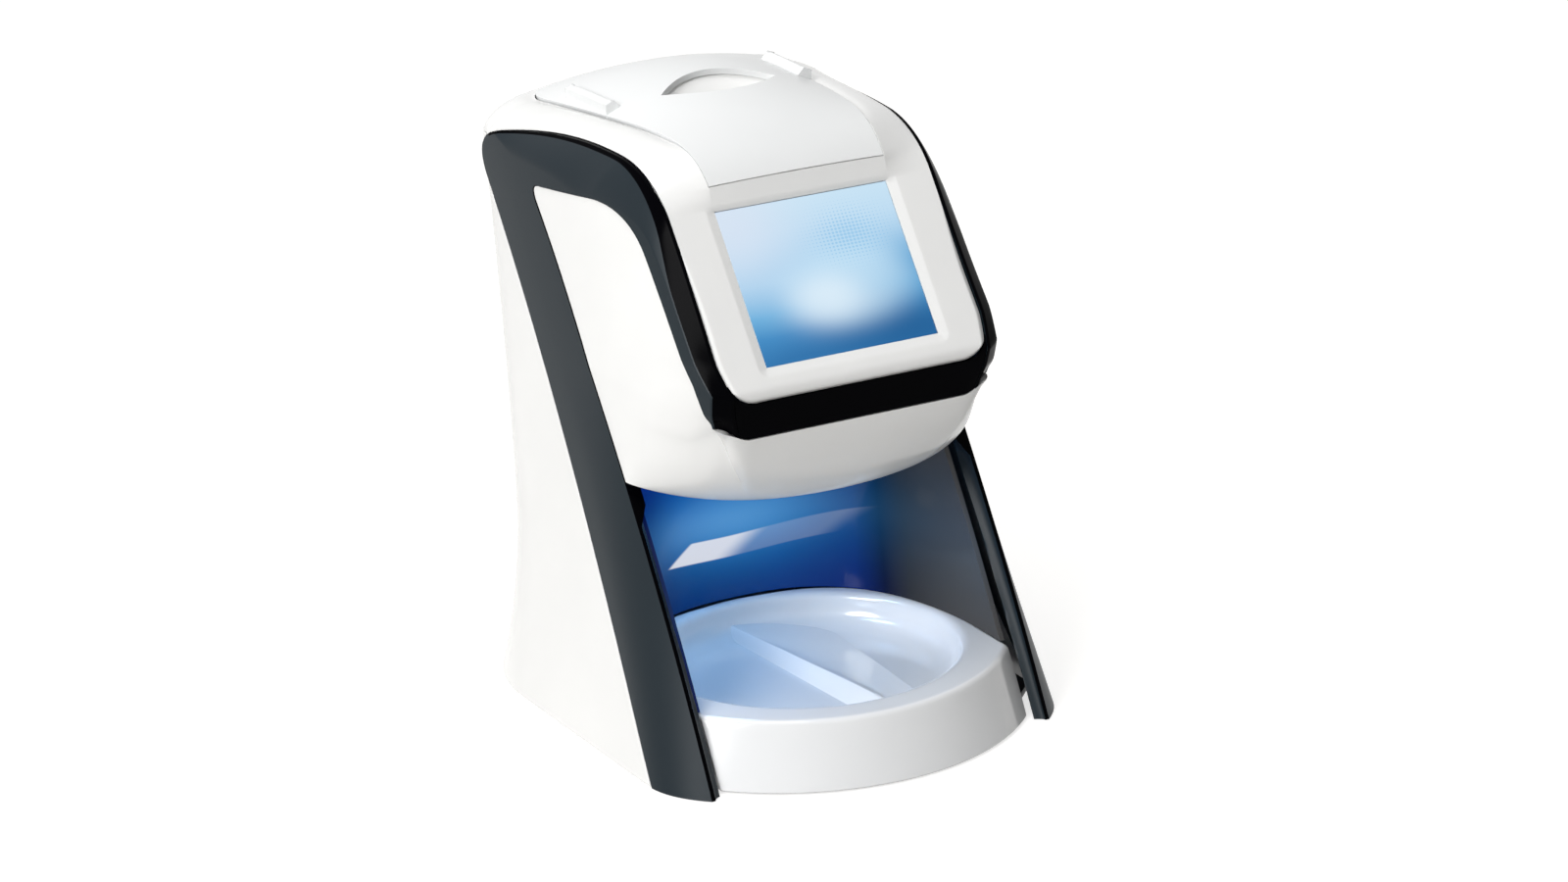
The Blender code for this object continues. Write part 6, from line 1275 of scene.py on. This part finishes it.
# Cavity lamp: a small blue light shines down from its lens in the ceiling.
cavity_light = bpy.data.lights.new("cavity_lamp", "AREA")
cavity_light.size = 0.03
cavity_light.color = (0.34, 0.62, 1.0)
cavity_light.energy = 0.060
cavity_lamp = bpy.data.objects.new("cavity_lamp", cavity_light)
bpy.context.scene.collection.objects.link(cavity_lamp)
cavity_lamp.location = (-0.030, -0.004, CEILING_Z - 0.002)


# Receptacle tray. One gloss white moulding that pulls out to the front: leaning skirt, flat deck, and the
# round bowl with a wedge across its floor that lifts one edge of a plate.

TRAY_TOP_Z = 0.027
TRAY_HALF_WIDTH = 0.0705
TRAY_SHOULDER_Y = -0.050
TRAY_REAR_Y = 0.0291
TRAY_EDGE = 0.0018
SKIRT_RADIUS = 0.1037
SKIRT_CENTRE_Y = -0.0072
SKIRT_LEAN = 0.0109
SKIRT_WALL = 0.0027
SKIRT_BOTTOM_Z = 0.001
BOWL_RADIUS = 0.057
BOWL_SIDE_RIM = 0.0055
BOWL_CENTRE_Y = -0.0305
BOWL_FLOOR_RADIUS = 0.047
BOWL_FLOOR_Z = 0.014
RIDGE_TOP_Z = 0.0205
BOWL_HUB = 0.002
SKIRT_ROUND = 0.0005
TRAY_UNDER_Z = 0.006

tray_white = plastic("white_gloss_tray", (0.80, 0.81, 0.82), 0.16, coat=0.4)


def tray_outline(z, inset=0.0):
    """Plan of the tray at height z: the skirt's arc in front, straight sides, a superellipse at the back."""
    radius = SKIRT_RADIUS - SKIRT_LEAN * z / TRAY_TOP_Z - inset
    half = TRAY_HALF_WIDTH - inset
    limit = math.asin(half / radius)
    arc = np.linspace(-limit, limit, 121)
    front = np.stack([radius * np.sin(arc), SKIRT_CENTRE_Y - radius * np.cos(arc)], axis=1)
    x, y = liner_curve(half, TRAY_SHOULDER_Y, TRAY_REAR_Y - inset, LINER_EXPONENT,
                       np.linspace(math.pi / 2, -math.pi / 2, 97))
    sides = straight(front[-1], (x[0], y[0]), 8)[1:-1]
    return np.vstack([front, sides, np.stack([x, y], axis=1), sides[::-1] * [-1, 1]])


top_line = tray_outline(TRAY_TOP_Z)
bowl_stretch = (TRAY_HALF_WIDTH - BOWL_SIDE_RIM) / BOWL_RADIUS
bowl_angle = np.arctan2(top_line[:, 1] - BOWL_CENTRE_Y, top_line[:, 0] / bowl_stretch)
circle_line = np.stack([bowl_stretch * np.cos(bowl_angle), np.sin(bowl_angle)], axis=1)
wall_curve = bend((BOWL_FLOOR_RADIUS - 0.002, BOWL_FLOOR_Z), (BOWL_RADIUS - 0.0022, BOWL_FLOOR_Z),
                  (BOWL_RADIUS - 0.0016, TRAY_TOP_Z - 0.0030), 12)
rim_curve = bend(wall_curve[-1], (BOWL_RADIUS - 0.0012, TRAY_TOP_Z), (BOWL_RADIUS + 0.0018, TRAY_TOP_Z), 8)
floor_curve = straight((BOWL_HUB, BOWL_FLOOR_Z), (BOWL_FLOOR_RADIUS - 0.004, BOWL_FLOOR_Z), 13)


def tray_row(line, height):
    """One closed row of the tray's mesh: a plan line at a height."""
    return np.column_stack([line, np.full(len(line), height)])


tray_rows = [tray_row(circle_line * radius + [0, BOWL_CENTRE_Y], height)
             for radius, height in np.vstack([floor_curve, wall_curve, rim_curve[1:]])]
bowl_edge = tray_rows[-1][:, :2]
deck_edge = tray_outline(TRAY_TOP_Z, TRAY_EDGE)
for share in np.linspace(0, 1, 8)[1:]:
    tray_rows.append(tray_row(bowl_edge + (deck_edge - bowl_edge) * share, TRAY_TOP_Z))
for turn in np.linspace(0, math.pi / 2, 7)[1:]:
    height = TRAY_TOP_Z - TRAY_EDGE * (1 - math.cos(turn))
    tray_rows.append(tray_row(tray_outline(height, TRAY_EDGE * (1 - math.sin(turn))), height))
for height in np.linspace(TRAY_TOP_Z - TRAY_EDGE, SKIRT_BOTTOM_Z + SKIRT_ROUND, 14)[1:]:
    tray_rows.append(tray_row(tray_outline(height), height))
for height, inset in ((SKIRT_BOTTOM_Z, SKIRT_ROUND), (SKIRT_BOTTOM_Z, SKIRT_WALL),
                      (TRAY_UNDER_Z, SKIRT_WALL)):
    tray_rows.append(tray_row(tray_outline(height, inset), height))
tray_rows.append(tray_row(circle_line * BOWL_HUB + [0, BOWL_CENTRE_Y], TRAY_UNDER_Z))
tray_points = np.vstack(tray_rows)
columns_count = len(top_line)
tray_quads = grid_quads(len(tray_rows), columns_count, closed=True)
first_ring = list(range(columns_count - 1, -1, -1))
last_ring = list(range(len(tray_points) - columns_count, len(tray_points)))
faces = tray_quads.tolist() + [first_ring, last_ring]
if signed_volume(tray_points, tray_quads) < 0:
    faces = [face[::-1] for face in faces]
tray = make_piece("receptacle_tray_skin", tray_points, faces, tray_white, "tray")
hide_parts("receptacle_tray")

# Wedge on the bowl's floor, moulded with it: a steep face on the left and a long fall to the right.
wedge_back = np.array((-0.095, -0.04, 0.58)) * BOWL_RADIUS * bowl_stretch
wedge_front = np.array((0.01, 0.13, 0.47)) * BOWL_RADIUS * bowl_stretch
WEDGE_ROWS = 49
wedge_along = np.linspace(-0.14, 1.14, WEDGE_ROWS)[:, None]
lines = wedge_back + (wedge_front - wedge_back) * wedge_along
wedge_y = BOWL_CENTRE_Y + BOWL_FLOOR_RADIUS * (1 - 2 * wedge_along[:, 0])
across_u = np.r_[np.linspace(0, 1, 9), np.linspace(1, 2, 25)[1:]]
left, top_x, right = lines[:, 0:1], lines[:, 1:2], lines[:, 2:3]
x = np.where(across_u < 1, left + (top_x - left) * across_u, top_x + (right - top_x) * (across_u - 1))
height = np.where(across_u < 1, across_u, 2 - across_u)
height = 1 - np.sqrt((1 - height) ** 2 + 0.002) + 0.045
wedge_rise = (RIDGE_TOP_Z - BOWL_FLOOR_Z) * (0.75 + 0.25 * np.clip(wedge_along * 1.3, 0, 1))
wedge_z = BOWL_FLOOR_Z - 0.0006 + wedge_rise * height
outer = np.stack([x, np.broadcast_to(wedge_y[:, None], x.shape), np.broadcast_to(wedge_z, x.shape)], axis=-1)
inner = outer.copy()
inner[..., 2] = BOWL_FLOOR_Z - 0.004
reach_out = np.hypot(outer[..., 0] / bowl_stretch, outer[..., 1] - BOWL_CENTRE_Y)
pull = np.minimum(1, (BOWL_RADIUS - 0.0025) / reach_out)
for skin in (outer, inner):
    skin[..., 0] *= pull
    skin[..., 1] = BOWL_CENTRE_Y + (skin[..., 1] - BOWL_CENTRE_Y) * pull
points, faces = solid_from(outer.reshape(-1, 3), inner.reshape(-1, 3), grid_quads(WEDGE_ROWS, len(across_u)))
wedge = make_piece("tray_wedge", points, faces, tray_white, "tray")


# Parts kept as the model has them. Each gets the finish of the real thing: zinc-plated sheet, ground steel,
# turned brass, moulded black plastic, rubber, coated boards, glass and acrylic.


def metal(name, colour, roughness, stretch=(1.0, 1.0, 1.0), scale=900.0, depth=0.03):
    """Bare metal: noise stretched along one way for grinding or rolling marks, in roughness and bump."""
    made, tree, surface = new_material(name, {"Base Color": (*colour, 1), "Metallic": 1.0})
    where = add(tree, "ShaderNodeTexCoord").outputs["Object"]
    mapping = add(tree, "ShaderNodeMapping", {"Vector": where, "Scale": stretch})
    marks = add(tree, "ShaderNodeTexNoise", {"Vector": mapping.outputs["Vector"], "Scale": scale,
                                             "Detail": 3.0})
    roughen(tree, surface, marks.outputs["Fac"], roughness, 0.3, depth)
    return made


def clear(name, colour, roughness, weight):
    """Glass or acrylic: light passes by the given weight."""
    made = plastic(name, colour, roughness, grain=0.005)
    made.node_tree.nodes["Principled BSDF"].inputs["Transmission Weight"].default_value = weight
    return made


def dress(finish, *nodes):
    """Give CAD nodes a finish in place of the plain one they came with."""
    for node in nodes:
        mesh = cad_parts[node].data
        mesh.materials.clear()
        mesh.materials.append(finish)


zinc = metal("zinc_plated_sheet", (0.52, 0.53, 0.55), 0.42, scale=60.0)
ground_steel = metal("ground_steel", (0.60, 0.60, 0.61), 0.24, stretch=(1, 1, 0.05))
turned_brass = metal("turned_brass", (0.60, 0.42, 0.16), 0.26, stretch=(0.05, 0.05, 1))
mirror_face = metal("mirror_aluminium", (0.88, 0.89, 0.90), 0.04, depth=0.0)
black_moulded = plastic("black_moulded", (0.012, 0.012, 0.014), 0.42, grain=0.12)
black_rubber = plastic("black_rubber", (0.016, 0.016, 0.016), 0.8, specular=0.25, grain=0.2)
board = plastic("board_green", (0.015, 0.12, 0.05), 0.38, grain=0.1, grain_scale=500.0, mottle=0.2)
lamp_lens = plastic("lamp_lens_blue", (0.20, 0.55, 0.95), 0.15, grain=0.005)
lens_surface = lamp_lens.node_tree.nodes["Principled BSDF"]
lens_surface.inputs["Emission Color"].default_value = (0.15, 0.45, 1.0, 1)
lens_surface.inputs["Emission Strength"].default_value = 1.2
diffuser = plastic("erase_lamp_diffuser", (0.86, 0.86, 0.80), 0.35)
ceiling_dark = plastic("ceiling_slate", (0.020, 0.030, 0.042), 0.30, grain=0.04)

dress(zinc, "back_plate", "scanner_shelf", "motor_bracket", "display_panel", "network_socket")
dress(ground_steel, "guide_rod_left", "guide_rod_right", "lead_screw", "exit_flap_pin", "base_screw_1",
      "base_screw_2", "base_screw_3", "base_screw_4")
dress(turned_brass, "lead_nut", "screw_foot_bearing")
dress(mirror_face, "scan_mirror")
dress(black_moulded, "exit_flap", "laser_module", "mirror_motor", "photomultiplier", "plate_carriage",
      "power_inlet", "power_rocker", "power_switch_body", "rear_connector_panel", "stepper_motor",
      "base_plate")
dress(black_rubber, "rubber_foot_1", "rubber_foot_2", "rubber_foot_3", "rubber_foot_4")
dress(board, "display_board", "main_board")
dress(lamp_lens, "cavity_lamp_lens")
dress(diffuser, "erase_lamp")
dress(ceiling_dark, "cavity_ceiling")
dress(clear("scan_lens_glass", (0.75, 0.82, 0.85), 0.03, 0.8), "scan_lens")
dress(clear("light_guide_acrylic", (0.80, 0.88, 0.92), 0.05, 0.85), "light_guide")
